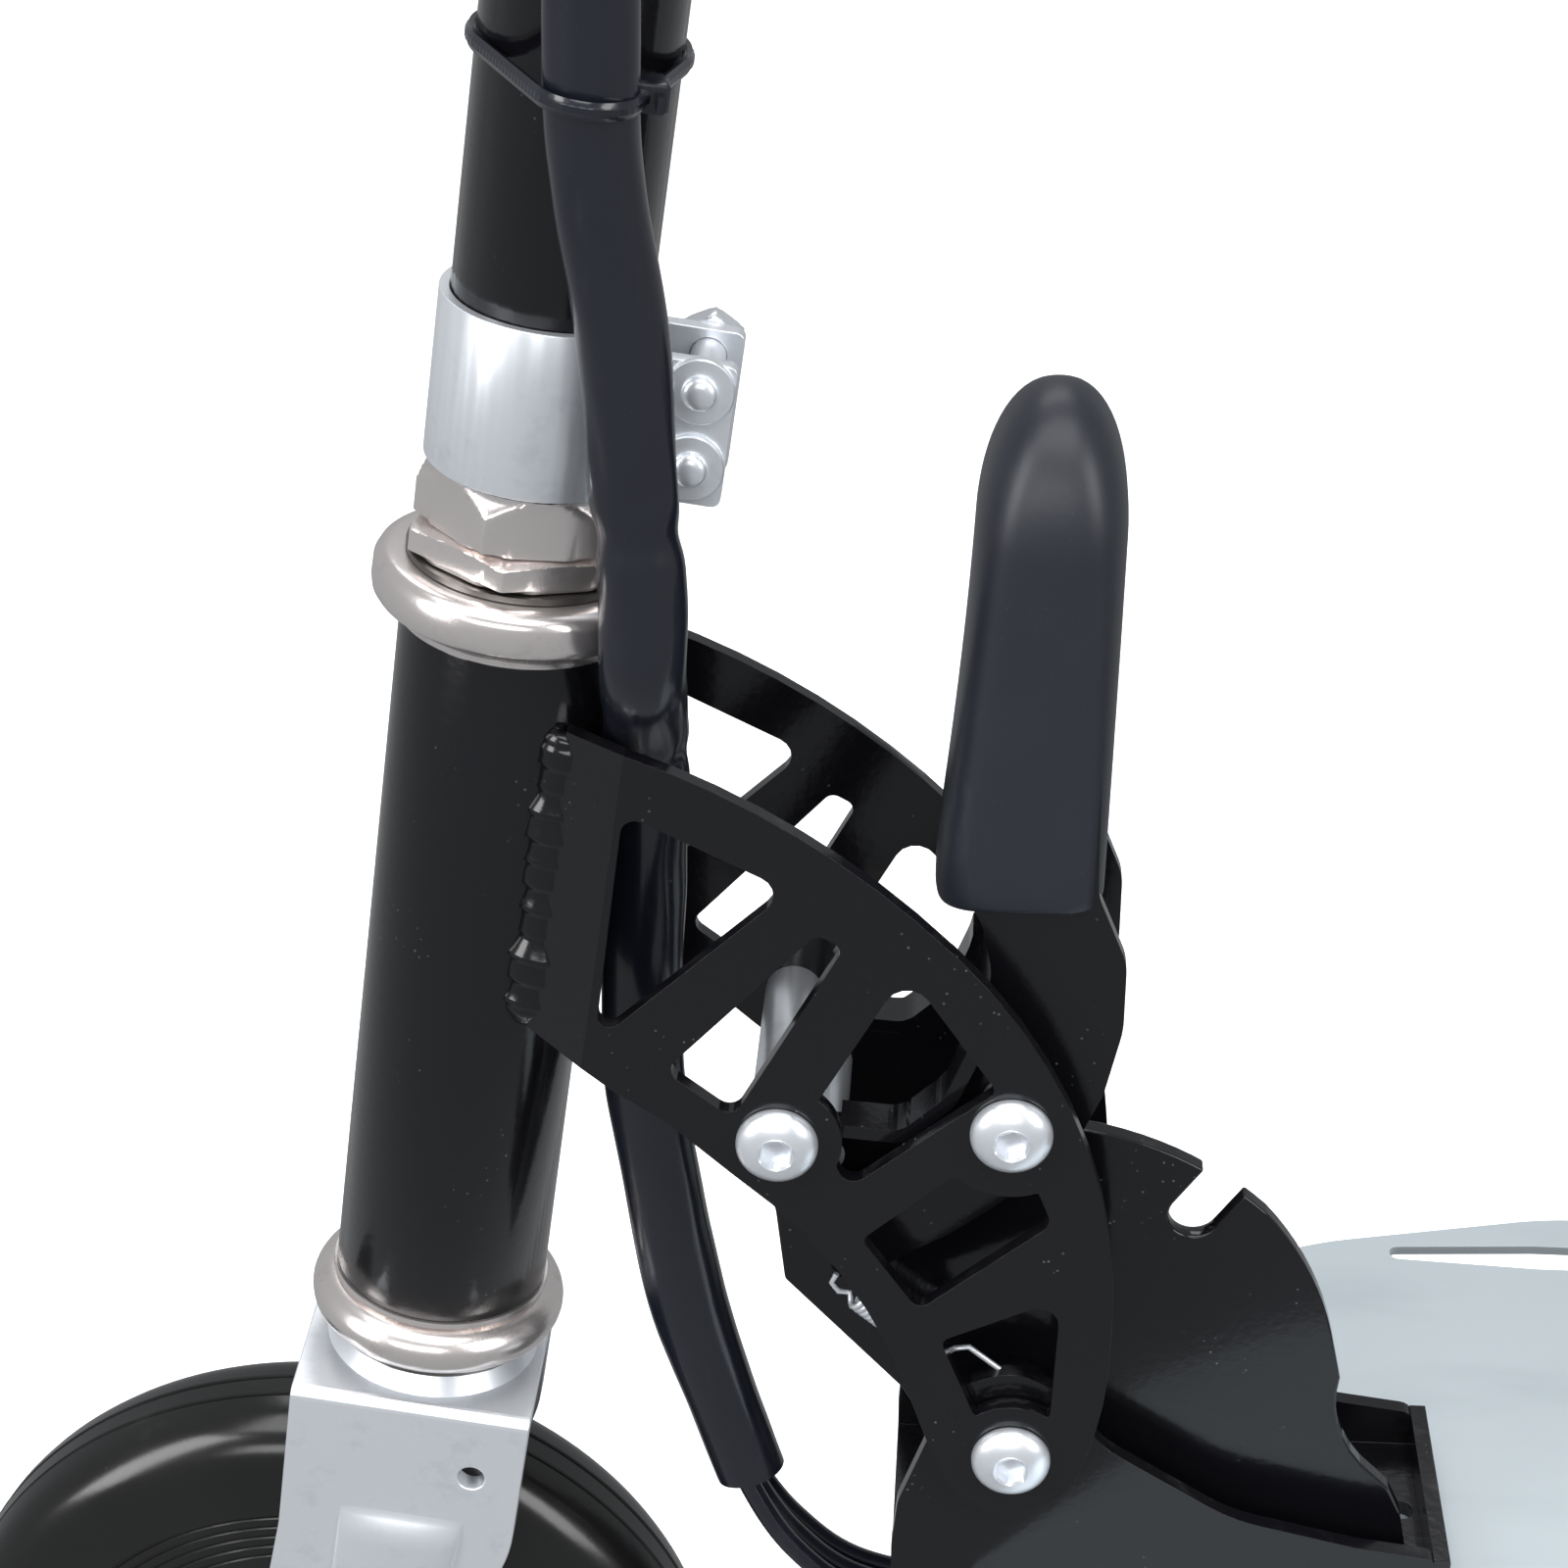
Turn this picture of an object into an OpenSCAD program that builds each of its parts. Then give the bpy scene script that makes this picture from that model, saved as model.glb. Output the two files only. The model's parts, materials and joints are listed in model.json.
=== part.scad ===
// Electric kick scooter with a folding neck, in millimetres.
// +X points forward, +Y to the rider's left, +Z up; the floor is z = 0 and the origin is the
// centre of the bounding box's bottom. The neck is drawn about its hinge, in the XZ plane.

/* [Wheels] */
// Distance between the two axles
wheelbase = 650; // [620:5:760]
// Diameter of both wheels
wheel_d = 150; // [140:1:160]
// Width of the tyres
tyre_w = 30; // [24:1:32]
// Gap between the rear tyre and the fender
fender_gap = 10; // [8:1:16]

/* [Steering] */
// Rake of the steering axis from the vertical
rake = 8; // [5:0.5:12]
// Outer diameter of the head tube
head_tube_d = 38; // [36:0.5:40]
// Outer diameter of the stem
stem_d = 31.8; // [30:0.1:33]
// Outer diameter of the fork's steerer
steerer_d = 28; // [27:0.5:28.5]
// Length of the head tube
head_tube_len = 132; // [120:1:150]
// Distance along the steering axis from the fork crown to the handlebar
bar_rise = 760; // [640:5:820]
// Forward offset of the front axle from the steering axis
fork_offset = 11; // [4:1:14]
// Outer width of the fork
fork_w = 46; // [46:1:60]
// Thickness of the fork's plate
fork_t = 4; // [3:0.5:5]

/* [Handlebar] */
// Overall width of the handlebar
bar_w = 420; // [380:5:480]
// Diameter of the handlebar
bar_d = 22.2; // [21:0.1:24]
// Length of a grip
grip_len = 110; // [100:1:130]
// Diameter of a grip
grip_d = 32; // [29:0.5:35]

/* [Folding neck] */
// Distance between the inner faces of the two ladder plates
plate_gap = 46; // [44:1:50]
// Thickness of a ladder plate
plate_t = 3; // [2.5:0.5:4]
// Thickness of the neck base's sheet
base_t = 3; // [2.5:0.5:4]
// Radius of the lock quadrant
quadrant_r = 62.5; // [60:0.5:63]
// Thickness of the lock quadrant
quadrant_t = 3.5; // [3:0.5:4]
// Diameter of the three cross bolts
cross_bolt_d = 8; // [7:0.5:8.5]
// Diameter of the lock pin
lock_pin_d = 7.6; // [7:0.1:8]
// Thickness of the lever's sheet
lever_t = 3; // [2:0.5:3]

/* [Deck] */
// Width of the deck plate
deck_w = 200; // [180:2:230]
// Thickness of the deck plate
deck_t = 2; // [1.5:0.5:3]
// Width of the battery pan
pan_w = 160; // [156:1:176]
// Depth of the battery pan
pan_depth = 72; // [71:1:80]
// Sheet thickness of the pan
pan_t = 1.5; // [1.2:0.1:2]

/* [Drive] */
// Teeth of the wheel's sprocket
wheel_teeth = 55; // [50:1:58]
// Teeth of the motor's sprocket
motor_teeth = 11; // [9:1:13]
// Pitch of the drive chain
chain_pitch = 6.35; // [6.35]
// Diameter of the motor
motor_d = 66; // [58:1:67]
// Length of the motor
motor_len = 84; // [70:1:90]

/* [Hidden] */
$fn = 64;
eps = 0.01;
wheel_r = wheel_d / 2;
run_fit = 0.05;
seat_gap = 0.3;
side_gap = 0.5;

// Places worked out from the driving sizes
crown_s = 3.5;
axle_s = -(wheel_r + 13);
steer_x = 107.5;
axle_from_hinge = [
    steer_x + fork_offset * cos(rake) - axle_s * sin(rake),
    fork_offset * sin(rake) + axle_s * cos(rake)
];
fender_r = wheel_r + fender_gap + 3;
front_x = (wheelbase + fender_r - wheel_r) / 2;
rear_x = front_x - wheelbase;
hinge_x = front_x - axle_from_hinge[0];
hinge_z = wheel_r - axle_from_hinge[1];
base_floor = -30;
deck_top = hinge_z + base_floor - base_t;
deck_under = deck_top - deck_t;
pan_floor = deck_under - pan_depth;
deck_front = hinge_x + 8;
deck_rear = rear_x + wheel_r + 20;
deck_taper = 122;
bar_s = bar_rise;

// The neck, measured from the hinge: x forward, z up
bolt_1 = [41.5, 65.5];
bolt_2 = [2, 69];
pin_rest = [34.2, 57];
lever_turn = 17;
folded_notch_angle = 34.6;
notch_seat_r = 53.7;
notch_r = lock_pin_d / 2 + 0.6;
sleeve_d = 10.4;
lever_outer = 16.5;
quadrant_outer = 13;
base_outer = plate_gap / 2 - side_gap;
spring_top = [27, 29];
spring_foot = [11, 15];
spring_y = 19.8;
spring_d = 5.6;

function turn2(p, c, a) = c + [
    (p[0] - c[0]) * cos(a) - (p[1] - c[1]) * sin(a),
    (p[0] - c[0]) * sin(a) + (p[1] - c[1]) * cos(a)
];
pin_locked = turn2(pin_rest, bolt_2, -lever_turn);
upright_notch_angle = atan2(pin_locked[0], pin_locked[1]);

// Unit vector
function unit(v) = v / norm(v);
// Points of a corner at b, rounded with radius r
function corner(a, b, c, r, n) = r <= 0 ? [b] :
    let (u = unit(a - b), v = unit(c - b), half = acos(u * v) / 2)
    let (centre = b + unit(u + v) * r / sin(half))
    let (p0 = b + u * r / tan(half) - centre, p1 = b + v * r / tan(half) - centre)
    let (a0 = atan2(p0[1], p0[0]), raw = atan2(p1[1], p1[0]) - a0)
    let (sweep = raw > 180 ? raw - 360 : raw < -180 ? raw + 360 : raw)
    [for (i = [0:n]) centre + r * [cos(a0 + sweep * i / n), sin(a0 + sweep * i / n)]];
// Outline through [x, z, radius] corners
function rounded(pts, n = 5) = [
    for (i = [0:len(pts) - 1])
    let (k = len(pts), a = pts[(i + k - 1) % k], b = pts[i], c = pts[(i + 1) % k])
    each corner([a[0], a[1]], [b[0], b[1]], [c[0], c[1]], b[2], n)
];
// Arc through three points
function arc3(a, b, c, n) =
    let (d = 2 * (a[0] * (b[1] - c[1]) + b[0] * (c[1] - a[1]) + c[0] * (a[1] - b[1])))
    let (ux = ((a * a) * (b[1] - c[1]) + (b * b) * (c[1] - a[1]) + (c * c) * (a[1] - b[1])) / d)
    let (uy = ((a * a) * (c[0] - b[0]) + (b * b) * (a[0] - c[0]) + (c * c) * (b[0] - a[0])) / d)
    let (o = [ux, uy], r = norm(a - o), a0 = atan2(a[1] - uy, a[0] - ux))
    let (raw = atan2(c[1] - uy, c[0] - ux) - a0, mid = atan2(b[1] - uy, b[0] - ux) - a0)
    let (up = (raw + 720) % 360, m = (mid + 720) % 360, sweep = m < up ? up : up - 360)
    [for (i = [0:n]) o + r * [cos(a0 + sweep * i / n), sin(a0 + sweep * i / n)]];
// Smooth curve through points
function spline(p, k) = [
    for (i = [0:len(p) - 2])
    let (a = p[max(i - 1, 0)], b = p[i], c = p[i + 1], d = p[min(i + 2, len(p) - 1)])
    each [
        for (j = [0:k - 1])
        let (t = j / k)
        0.5 * (2 * b + (c - a) * t + (2 * a - 5 * b + 4 * c - d) * t * t
            + (3 * b - a - 3 * c + d) * t * t * t)
    ],
    p[len(p) - 1]
];
// Direction of a path at point i
function heading(p, i) = unit(p[min(i + 1, len(p) - 1)] - p[max(i - 1, 0)]);

// A round tube along a path
module tube(path, r, sides = 10) {
    last = len(path) - 1;
    side = [for (i = [0:last]) unit(cross(heading(path, i), [1, 0.13, 0.21]))];
    points = [
        for (i = [0:last])
        for (j = [0:sides - 1])
        path[i] + r * (side[i] * cos(360 * j / sides)
            + cross(heading(path, i), side[i]) * sin(360 * j / sides))
    ];
    walls = [
        for (i = [0:last - 1])
        for (j = [0:sides - 1])
        [i * sides + j, (i + 1) * sides + j, (i + 1) * sides + (j + 1) % sides, i * sides + (j + 1) % sides]
    ];
    start = [for (j = [0:sides - 1]) j];
    end = [for (j = [sides - 1:-1:0]) last * sides + j];
    polyhedron(points, concat(walls, [start, end]), convexity = 6);
}
// A plate whose outline lies in the XZ plane, between y0 and y1
module plate(y0, y1) translate([0, y1, 0]) rotate([90, 0, 0]) linear_extrude(y1 - y0, convexity = 8) children();
// A cylinder along Y between y0 and y1, at x and z
module rod(x, z, d, y0, y1, sides = 64) translate([x, y1, z]) rotate([90, 0, 0]) cylinder(d = d, h = y1 - y0, $fn = sides);
// A ring along Y
module ring(x, z, d, bore, y0, y1) difference() {
    rod(x, z, d, y0, y1);
    rod(x, z, bore, y0 - 1, y1 + 1);
}
// A block given by its corners
module block(a, b) translate(a) cube(b - a);
module both_sides() { children(); mirror([0, 1, 0]) children(); }
module at_hinge() translate([hinge_x, 0, hinge_z]) children();
// z runs up the steering axis from the fork crown
module at_steering() translate([hinge_x + steer_x, 0, hinge_z]) rotate([0, -rake, 0]) children();
module at_rear() translate([rear_x, 0, wheel_r]) children();
module at_front_axle() translate([front_x, 0, wheel_r]) children();

// ---- deck ----
// The deck and the pan narrow to a blunt nose under the hinge
nose_w = 52;
pan_taper = 66;
deck_outline = [
    [deck_front, nose_w / 2, 14], [deck_front - 38, deck_w / 2 - 32, 40], [deck_front - 70, deck_w / 2 - 12, 60],
    [deck_front - deck_taper, deck_w / 2, 60],
    [deck_rear, deck_w / 2, 28], [deck_rear, -deck_w / 2, 28], [deck_front - deck_taper, -deck_w / 2, 60],
    [deck_front - 70, 12 - deck_w / 2, 60], [deck_front - 38, 32 - deck_w / 2, 40], [deck_front, -nose_w / 2, 14]
];
slot_front = hinge_x - 80;
slot_y = deck_w / 2 - 14;
mat_front = hinge_x - 140;
pan_front = deck_front - 14;
pan_rear = deck_rear + 6;
screw_y = pan_w / 2 + 6;
screw_xs = [for (i = [0:3]) pan_rear + 20 + i * (mat_front - pan_rear - 40) / 3];
screw_d = 5;

module deck_slot()
    polygon(rounded([[0, -2, 1.9], [-30, -4, 3], [-62, -4, 3.9], [-62, 4, 3.9], [-30, 4, 3], [0, 2, 1.9]]));

module deck_plate() color("lightsteelblue") translate([0, 0, deck_under]) difference() {
    linear_extrude(deck_t) polygon(rounded(deck_outline, 8));
    both_sides() translate([slot_front, slot_y, -1]) linear_extrude(deck_t + 2) deck_slot();
    for (x = screw_xs) both_sides() translate([x, screw_y, -1]) cylinder(d = screw_d + 0.4, h = deck_t + 2);
}
module grip_mat() color("dimgray") translate([0, 0, deck_top]) difference() {
    linear_extrude(1) polygon(rounded([
        [mat_front, deck_w / 2 - 12, 14], [deck_rear + 12, deck_w / 2 - 12, 22],
        [deck_rear + 12, 12 - deck_w / 2, 22], [mat_front, 12 - deck_w / 2, 14]
    ]));
    for (x = screw_xs) both_sides() translate([x, screw_y, -1]) cylinder(d = 11, h = 3);
}

motor_x = rear_x + 137;
motor_z = deck_under - motor_d / 2 - 1;
motor_y0 = -20;
chain_y = -31;
module chain_window() block([pan_rear - 2, chain_y - 8, wheel_r - 30], [pan_rear + pan_t + 2, chain_y + 8, deck_under - 6]);

module battery_pan() color("#1c1d20") difference() {
    union() {
        translate([0, 0, pan_floor]) linear_extrude(pan_depth) polygon(rounded([
            [pan_front, nose_w / 2, 12], [pan_front - pan_taper, pan_w / 2, 30], [pan_rear, pan_w / 2, 8],
            [pan_rear, -pan_w / 2, 8], [pan_front - pan_taper, -pan_w / 2, 30], [pan_front, -nose_w / 2, 12]
        ]));
        both_sides() block([pan_rear + 8, pan_w / 2 - 4, deck_under - pan_t], [mat_front - 6, pan_w / 2 + 12, deck_under]);
    }
    translate([0, 0, pan_floor + pan_t]) linear_extrude(pan_depth) polygon(rounded([
        [pan_front - pan_t, nose_w / 2 - pan_t, 11], [pan_front - pan_taper - pan_t, pan_w / 2 - pan_t, 30],
        [pan_rear + pan_t, pan_w / 2 - pan_t, 6.5], [pan_rear + pan_t, pan_t - pan_w / 2, 6.5],
        [pan_front - pan_taper - pan_t, pan_t - pan_w / 2, 30], [pan_front - pan_t, pan_t - nose_w / 2, 11]
    ]));
    for (x = screw_xs) both_sides() translate([x, screw_y, deck_under - 10]) cylinder(d = screw_d + 0.4, h = 12);
    chain_window();
    translate([pan_front - 10, 0, grommet_z]) rotate([0, 90, 0]) cylinder(d = 15, h = 20);
    translate([socket_x, pan_w / 2 - 10, panel_z]) rotate([-90, 0, 0]) cylinder(d = socket_d, h = 20);
    translate([breaker_x, pan_w / 2 - 10, panel_z]) rotate([-90, 0, 0]) cylinder(d = breaker_d, h = 20);
    block([switch_x - 10.5, pan_w / 2 - 10, panel_z - 7], [switch_x + 10.5, pan_w / 2 + 5, panel_z + 7]);
}
module pan_screws() color("silver") for (x = screw_xs) both_sides() translate([x, screw_y, 0]) {
    translate([0, 0, deck_top]) cylinder(d = 9, h = 2.6);
    translate([0, 0, deck_under - 12]) cylinder(d = screw_d, h = deck_t + 12);
    translate([0, 0, deck_under - pan_t - 4]) difference() {
        cylinder(d = 9, h = 4, $fn = 6);
        translate([0, 0, -1]) cylinder(d = screw_d, h = 6);
    }
}

// ---- neck base and lock quadrant ----
base_rear = -80;
base_front = 21;
base_wall = [
    [base_front, base_floor - base_t, 0], [base_front, -24, 6], [20, -14, 10], [13.6, 4, 6], [9.5, 12.5, 6],
    [0, 16.5, 9], [-10, 11, 8], [-15, 1, 20], [-40, -15, 30], [-63, -20.5, 30], [-77.5, -22.5, 3],
    [-78.5, base_floor - base_t, 0]
];
module neck_base() color("#1b1b1e") at_hinge() difference() {
    union() {
        both_sides() plate(base_outer - base_t, base_outer) polygon(rounded(base_wall));
        block([base_rear, -base_outer, base_floor - base_t], [base_front, base_outer, base_floor]);
        block([base_rear, -base_outer, base_floor - eps], [base_rear + base_t, base_outer, -23]);
        plate(quadrant_outer - eps, base_outer - base_t + eps) polygon(rounded([
            [-20, base_floor - eps, 0], [-20, base_floor + 9, 1.5], [-24, base_floor + 9, 1.5], [-24, base_floor - eps, 0]
        ]));
    }
    rod(0, 0, bush_d, -60, 60);
    translate([-72, 0, base_floor - 5]) linear_extrude(10) polygon(rounded([[4, -2.5, 2.4], [4, 2.5, 2.4], [-4, 2.5, 2.4], [-4, -2.5, 2.4]]));
}
bush_d = 14;
quadrant_front = 43;
// The rim eases in by a few millimetres past the folded notch, down to the flared tail
quadrant_outline = concat(
    [for (a = [asin(quadrant_front / quadrant_r):-3:-72]) (quadrant_r - max(0, -a - 44) * 0.11) * [sin(a), cos(a)]],
    arc3([-58.4, 10], [-58.8, 0], [-63.5, -9], 6), [[-69, -14.5], [-71.5, -20], [-73.5, base_floor]],
    [[16, base_floor], [14, -6], [20, 4.5], [41, 27.5]]
);
module notch(angle) rotate(-angle) {
    translate([0, notch_seat_r]) circle(r = notch_r, $fn = 32);
    translate([-notch_r, notch_seat_r]) square([2 * notch_r, 20]);
}
module lock_quadrant() color("#202024") at_hinge() plate(quadrant_outer - quadrant_t, quadrant_outer)
    difference() {
        polygon(quadrant_outline);
        circle(d = bush_d);
        notch(upright_notch_angle);
        notch(-folded_notch_angle);
    }
module pivot_bush() color("silver") at_hinge() difference() {
    rod(0, 0, bush_d, -base_outer, base_outer);
    rod(0, 0, cross_bolt_d + 2 * run_fit, -60, 60);
}

// ---- power ----
battery_y = 151;
battery_x = 98;
battery_z = 65;
battery_gap = 3;
battery_base = pan_floor + pan_t;
battery_front_x = pan_front - pan_taper - 6 - battery_x;
module battery(x) translate([x, -battery_y / 2, battery_base]) {
    color("#26282c") cube([battery_x, battery_y, battery_z - 3]);
    color("#c8a24a") for (y = [12, battery_y - 18]) translate([battery_x - 14, y, battery_z - 3]) cube([8, 6, 3]);
}
module battery_front() battery(battery_front_x);
module battery_rear() battery(battery_front_x - battery_x - battery_gap);
controller_x = battery_front_x - battery_x - battery_gap - 44;
module motor_controller() color("#9a9da1") translate([controller_x, -20, battery_base]) {
    cube([40, 84, 30]);
    for (i = [0:6]) translate([2 + i * 5.6, 0, 30 - eps]) cube([2, 84, 6]);
}
module drive_motor() color("#2b2c30") difference() {
    union() {
        rod(motor_x, motor_z, motor_d, motor_y0, motor_y0 + motor_len);
        rod(motor_x, motor_z, 24, motor_y0 - 4, motor_y0);
        block([motor_x - 16, motor_y0 + 8, battery_base], [motor_x + 16, motor_y0 + motor_len - 8, motor_z]);
    }
    rod(motor_x, motor_z, 8 + 2 * run_fit, motor_y0 - 10, motor_y0 + motor_len - 4);
}

function pitch_r(teeth) = chain_pitch / 2 / sin(180 / teeth);
tooth_w = 3;
// Gaps that the chain's rollers sit in
module sprocket(teeth, thick, bore, web) difference() {
    cylinder(r = pitch_r(teeth) + 1.6, h = thick, center = true);
    for (i = [0:teeth - 1]) rotate((i + 0.5) * 360 / teeth)
        translate([pitch_r(teeth), 0, -thick]) cylinder(d = 3.7, h = 2 * thick, $fn = 16);
    cylinder(d = bore, h = thick + 2, center = true);
    if (web > 0) for (i = [0:4]) rotate(i * 72) translate([web, 0, -thick]) cylinder(d = 20, h = 2 * thick);
}
module motor_sprocket() color("dimgray") {
    rod(motor_x, motor_z, 8, chain_y - 4, motor_y0 + motor_len - 5);
    translate([motor_x, chain_y, motor_z]) rotate([90, 0, 0]) rotate(chain_tilt) sprocket(motor_teeth, tooth_w, 8, 0);
}
// The chain is one loop that wraps both sprockets on their pitch circles
chain_dx = motor_x - rear_x;
chain_dz = motor_z - wheel_r;
chain_span = norm([chain_dx, chain_dz]);
chain_tilt = atan2(chain_dz, chain_dx);
chain_lean = acos((pitch_r(wheel_teeth) - pitch_r(motor_teeth)) / chain_span);
module chain_outline(grow) {
    a = chain_lean;
    big = pitch_r(wheel_teeth) + grow;
    small = pitch_r(motor_teeth) + grow;
    polygon(concat(
        [for (i = [0:40]) let (t = a + i * (360 - 2 * a) / 40) big * [cos(t), sin(t)]],
        [for (i = [0:14]) let (t = -a + i * 2 * a / 14) [chain_span, 0] + small * [cos(t), sin(t)]]
    ));
}
module drive_chain() color("#6b6a66") translate([rear_x, chain_y, wheel_r]) rotate([90, 0, 0]) rotate(chain_tilt)
    translate([0, 0, -5]) difference() {
        linear_extrude(10) chain_outline(4.2);
        translate([0, 0, -1]) linear_extrude(12) chain_outline(2.2);
    }

// ---- rear end ----
dropout_y = 46;
dropout_t = 4;
axle_d = 10;
module rear_dropouts() color("#1c1d20") difference() {
    both_sides() plate(dropout_y, dropout_y + dropout_t) polygon(rounded([
        [pan_rear - seat_gap, pan_floor + 6, 0], [rear_x + 30, wheel_r - 22, 30], [rear_x - 8, wheel_r - 15, 14],
        [rear_x - 18, wheel_r, 12], [rear_x - 8, wheel_r + 15, 14], [rear_x + 30, wheel_r + 22, 30],
        [pan_rear - seat_gap, deck_under - 2, 0]
    ]));
    rod(rear_x, wheel_r, axle_d, -80, 80);
    rod(rear_x + stay_hole[0], wheel_r + stay_hole[1], 6, -80, 80);
}
module hex_nut(x, z, d, bore, y0, y1) difference() {
    rod(x, z, d, y0, y1, 6);
    rod(x, z, bore, y0 - 1, y1 + 1);
}
nut_across = 17;
nut_h = 7;
module rear_axle() color("silver") {
    rod(rear_x, wheel_r, axle_d, -62, 62);
    ring(rear_x, wheel_r, 16, axle_d, -dropout_y, chain_y - tooth_w / 2 - side_gap);
    both_sides() hex_nut(rear_x, wheel_r, nut_across, axle_d, dropout_y + dropout_t, dropout_y + dropout_t + nut_h);
}
hub_half = 26;
module wheel_hub(half) color("#17181a") difference() {
    union() {
        rod(0, 0, 84, -tyre_w / 2 + 3, tyre_w / 2 - 3);
        rod(0, 0, 40, -half, half);
    }
    ring(0, 0, 76, 46, tyre_w / 2 - 8, tyre_w / 2);
    ring(0, 0, 76, 46, -tyre_w / 2, 8 - tyre_w / 2);
    rod(0, 0, axle_d + 2 * run_fit, -60, 60);
    for (i = [0:4]) rotate([0, i * 72, 0]) rod(30, 0, 12, -40, 40);
}
module rear_hub() at_rear() wheel_hub(hub_half);
module front_hub() at_front_axle() wheel_hub(fork_w / 2 - fork_t - side_gap);
module tyre() color("#0c0c0d") rotate([90, 0, 0]) rotate_extrude($fn = 96) difference() {
    polygon(rounded([
        [42, -tyre_w / 2 + 1, 2], [wheel_r - 13, -tyre_w / 2, 9], [wheel_r, -tyre_w / 2 + 9.5, 11],
        [wheel_r, tyre_w / 2 - 9.5, 11], [wheel_r - 13, tyre_w / 2, 9], [42, tyre_w / 2 - 1, 2]
    ]));
    for (s = [-1, 1]) for (r = [46, 50, 54]) translate([r, s * tyre_w / 2]) circle(r = 0.8, $fn = 16);
}
module rear_tyre() at_rear() tyre();
module front_tyre() at_front_axle() tyre();
module rear_sprocket() color("dimgray") at_rear() translate([0, chain_y, 0]) rotate([90, 0, 0])
    rotate(chain_tilt) difference() {
        union() {
            sprocket(wheel_teeth, tooth_w, 12, 38);
            translate([0, 0, chain_y + hub_half + run_fit]) cylinder(d = 40, h = 5 - tooth_w / 2);
        }
        cylinder(d = axle_d + 2 * run_fit, h = 40, center = true);
    }
module brake_drum() color("silver") at_rear() difference() {
    rod(0, 0, 66, hub_half, hub_half + 12);
    rod(0, 0, axle_d + 2 * run_fit, 0, 60);
}
brake_bore = 76;
cover_y = hub_half + 13;
module brake_cover() color("#b9bcc0") at_rear() difference() {
    union() {
        ring(0, 0, 82, brake_bore, hub_half + 1, cover_y + 3);
        rod(0, 0, 82, cover_y, cover_y + 3);
        rod(0, 0, 30, cover_y, dropout_y);
        rod(brake_pivot[0], brake_pivot[1], 12, hub_half + 3, cover_y + 3);
    }
    rod(0, 0, axle_d, -60, 60);
    rod(brake_pivot[0], brake_pivot[1], 5, 0, 60);
}
brake_pivot = [34, -26];
arm_y = cover_y + 3 + side_gap;
arm_end = [41, -50];
module brake_arm() color("silver") at_rear() difference() {
    union() {
        rod(brake_pivot[0], brake_pivot[1], 5 - 2 * run_fit, hub_half + 4, arm_y + 2.5);
        plate(arm_y, arm_y + 2.5) polygon(rounded([[27, -20, 5], [40, -20, 5], [46, -56, 4], [37, -56, 4]]));
    }
    rod(arm_end[0], arm_end[1], 4, 0, 60);
}
module brake_wire() color("#111111") {
    wire = [
        [rear_x + arm_end[0], arm_y + 4.5, wheel_r + arm_end[1]], [rear_x + 60, arm_y + 3, wheel_r - 44],
        [rear_x + 80, arm_y - 1, wheel_r - 28], [pan_rear - 2, arm_y - 2, pan_floor + 12]
    ];
    tube(spline(wire, 4), 1.5, 8);
}
fender_half = 22;
stay_t = 3;
stay_y = dropout_y - seat_gap;
stay_hole = [28, 14];
module rear_fender() color("#1b1b1e") at_rear() difference() {
    union() {
        plate(-fender_half, fender_half) polygon(concat(
            [for (a = [30:6:180]) fender_r * [cos(a), sin(a)]],
            [for (a = [180:-6:30]) (fender_r - 2) * [cos(a), sin(a)]]
        ));
        both_sides() {
            plate(fender_half - 1, stay_y) polygon([[61, 61], [65.5, 58.5], [64, 56.5], [59.5, 59.5]]);
            plate(stay_y - stay_t, stay_y) polygon(rounded([[20, 8, 6], [36, 8, 6], [66, 58, 3], [60, 62, 3], [20, 22, 6]]));
        }
    }
    rod(stay_hole[0], stay_hole[1], 6, -60, 60);
}
module fender_screws() color("silver") at_rear() both_sides() {
    rod(stay_hole[0], stay_hole[1], 5.9, stay_y - stay_t - side_gap, dropout_y + dropout_t);
    rod(stay_hole[0], stay_hole[1], 11, dropout_y + dropout_t, dropout_y + dropout_t + 3);
}
stand_x = 20;
stand_y = 58;
stand_pivot_z = pan_floor - 9;
module stand_bracket() color("silver") difference() {
    union() {
        block([stand_x - 18, stand_y - 10, pan_floor - 3], [stand_x + 18, stand_y + 14, pan_floor]);
        for (y = [stand_y - 9, stand_y + 9]) block([stand_x - 9, y, stand_pivot_z - 6], [stand_x + 9, y + 3, pan_floor - 2]);
    }
    rod(stand_x, stand_pivot_z, 6 + 2 * run_fit, stand_y - 30, stand_y + 30);
}
stand_out = 38;
foot_h = 5;
module kickstand() color("silver") {
    rod(stand_x, stand_pivot_z, 11, stand_y - 5.5, stand_y + 8.5);
    rod(stand_x, stand_pivot_z, 6, stand_y - 12, stand_y + 18);
    leg = [
        [stand_x, stand_y + 17, stand_pivot_z], [stand_x, stand_y + 24, stand_pivot_z - 4],
        [stand_x, stand_y + 33, stand_pivot_z - 22], [stand_x, stand_y + stand_out, foot_h + 8],
        [stand_x, stand_y + stand_out, foot_h + 0.1]
    ];
    tube(spline(leg, 3), 4.5, 12);
}
module stand_foot() color("#111111") translate([stand_x, stand_y + stand_out, 0]) difference() {
    cylinder(d = 18, h = foot_h + 6);
    translate([0, 0, foot_h]) cylinder(d = 10.4, h = 8);
}

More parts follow.
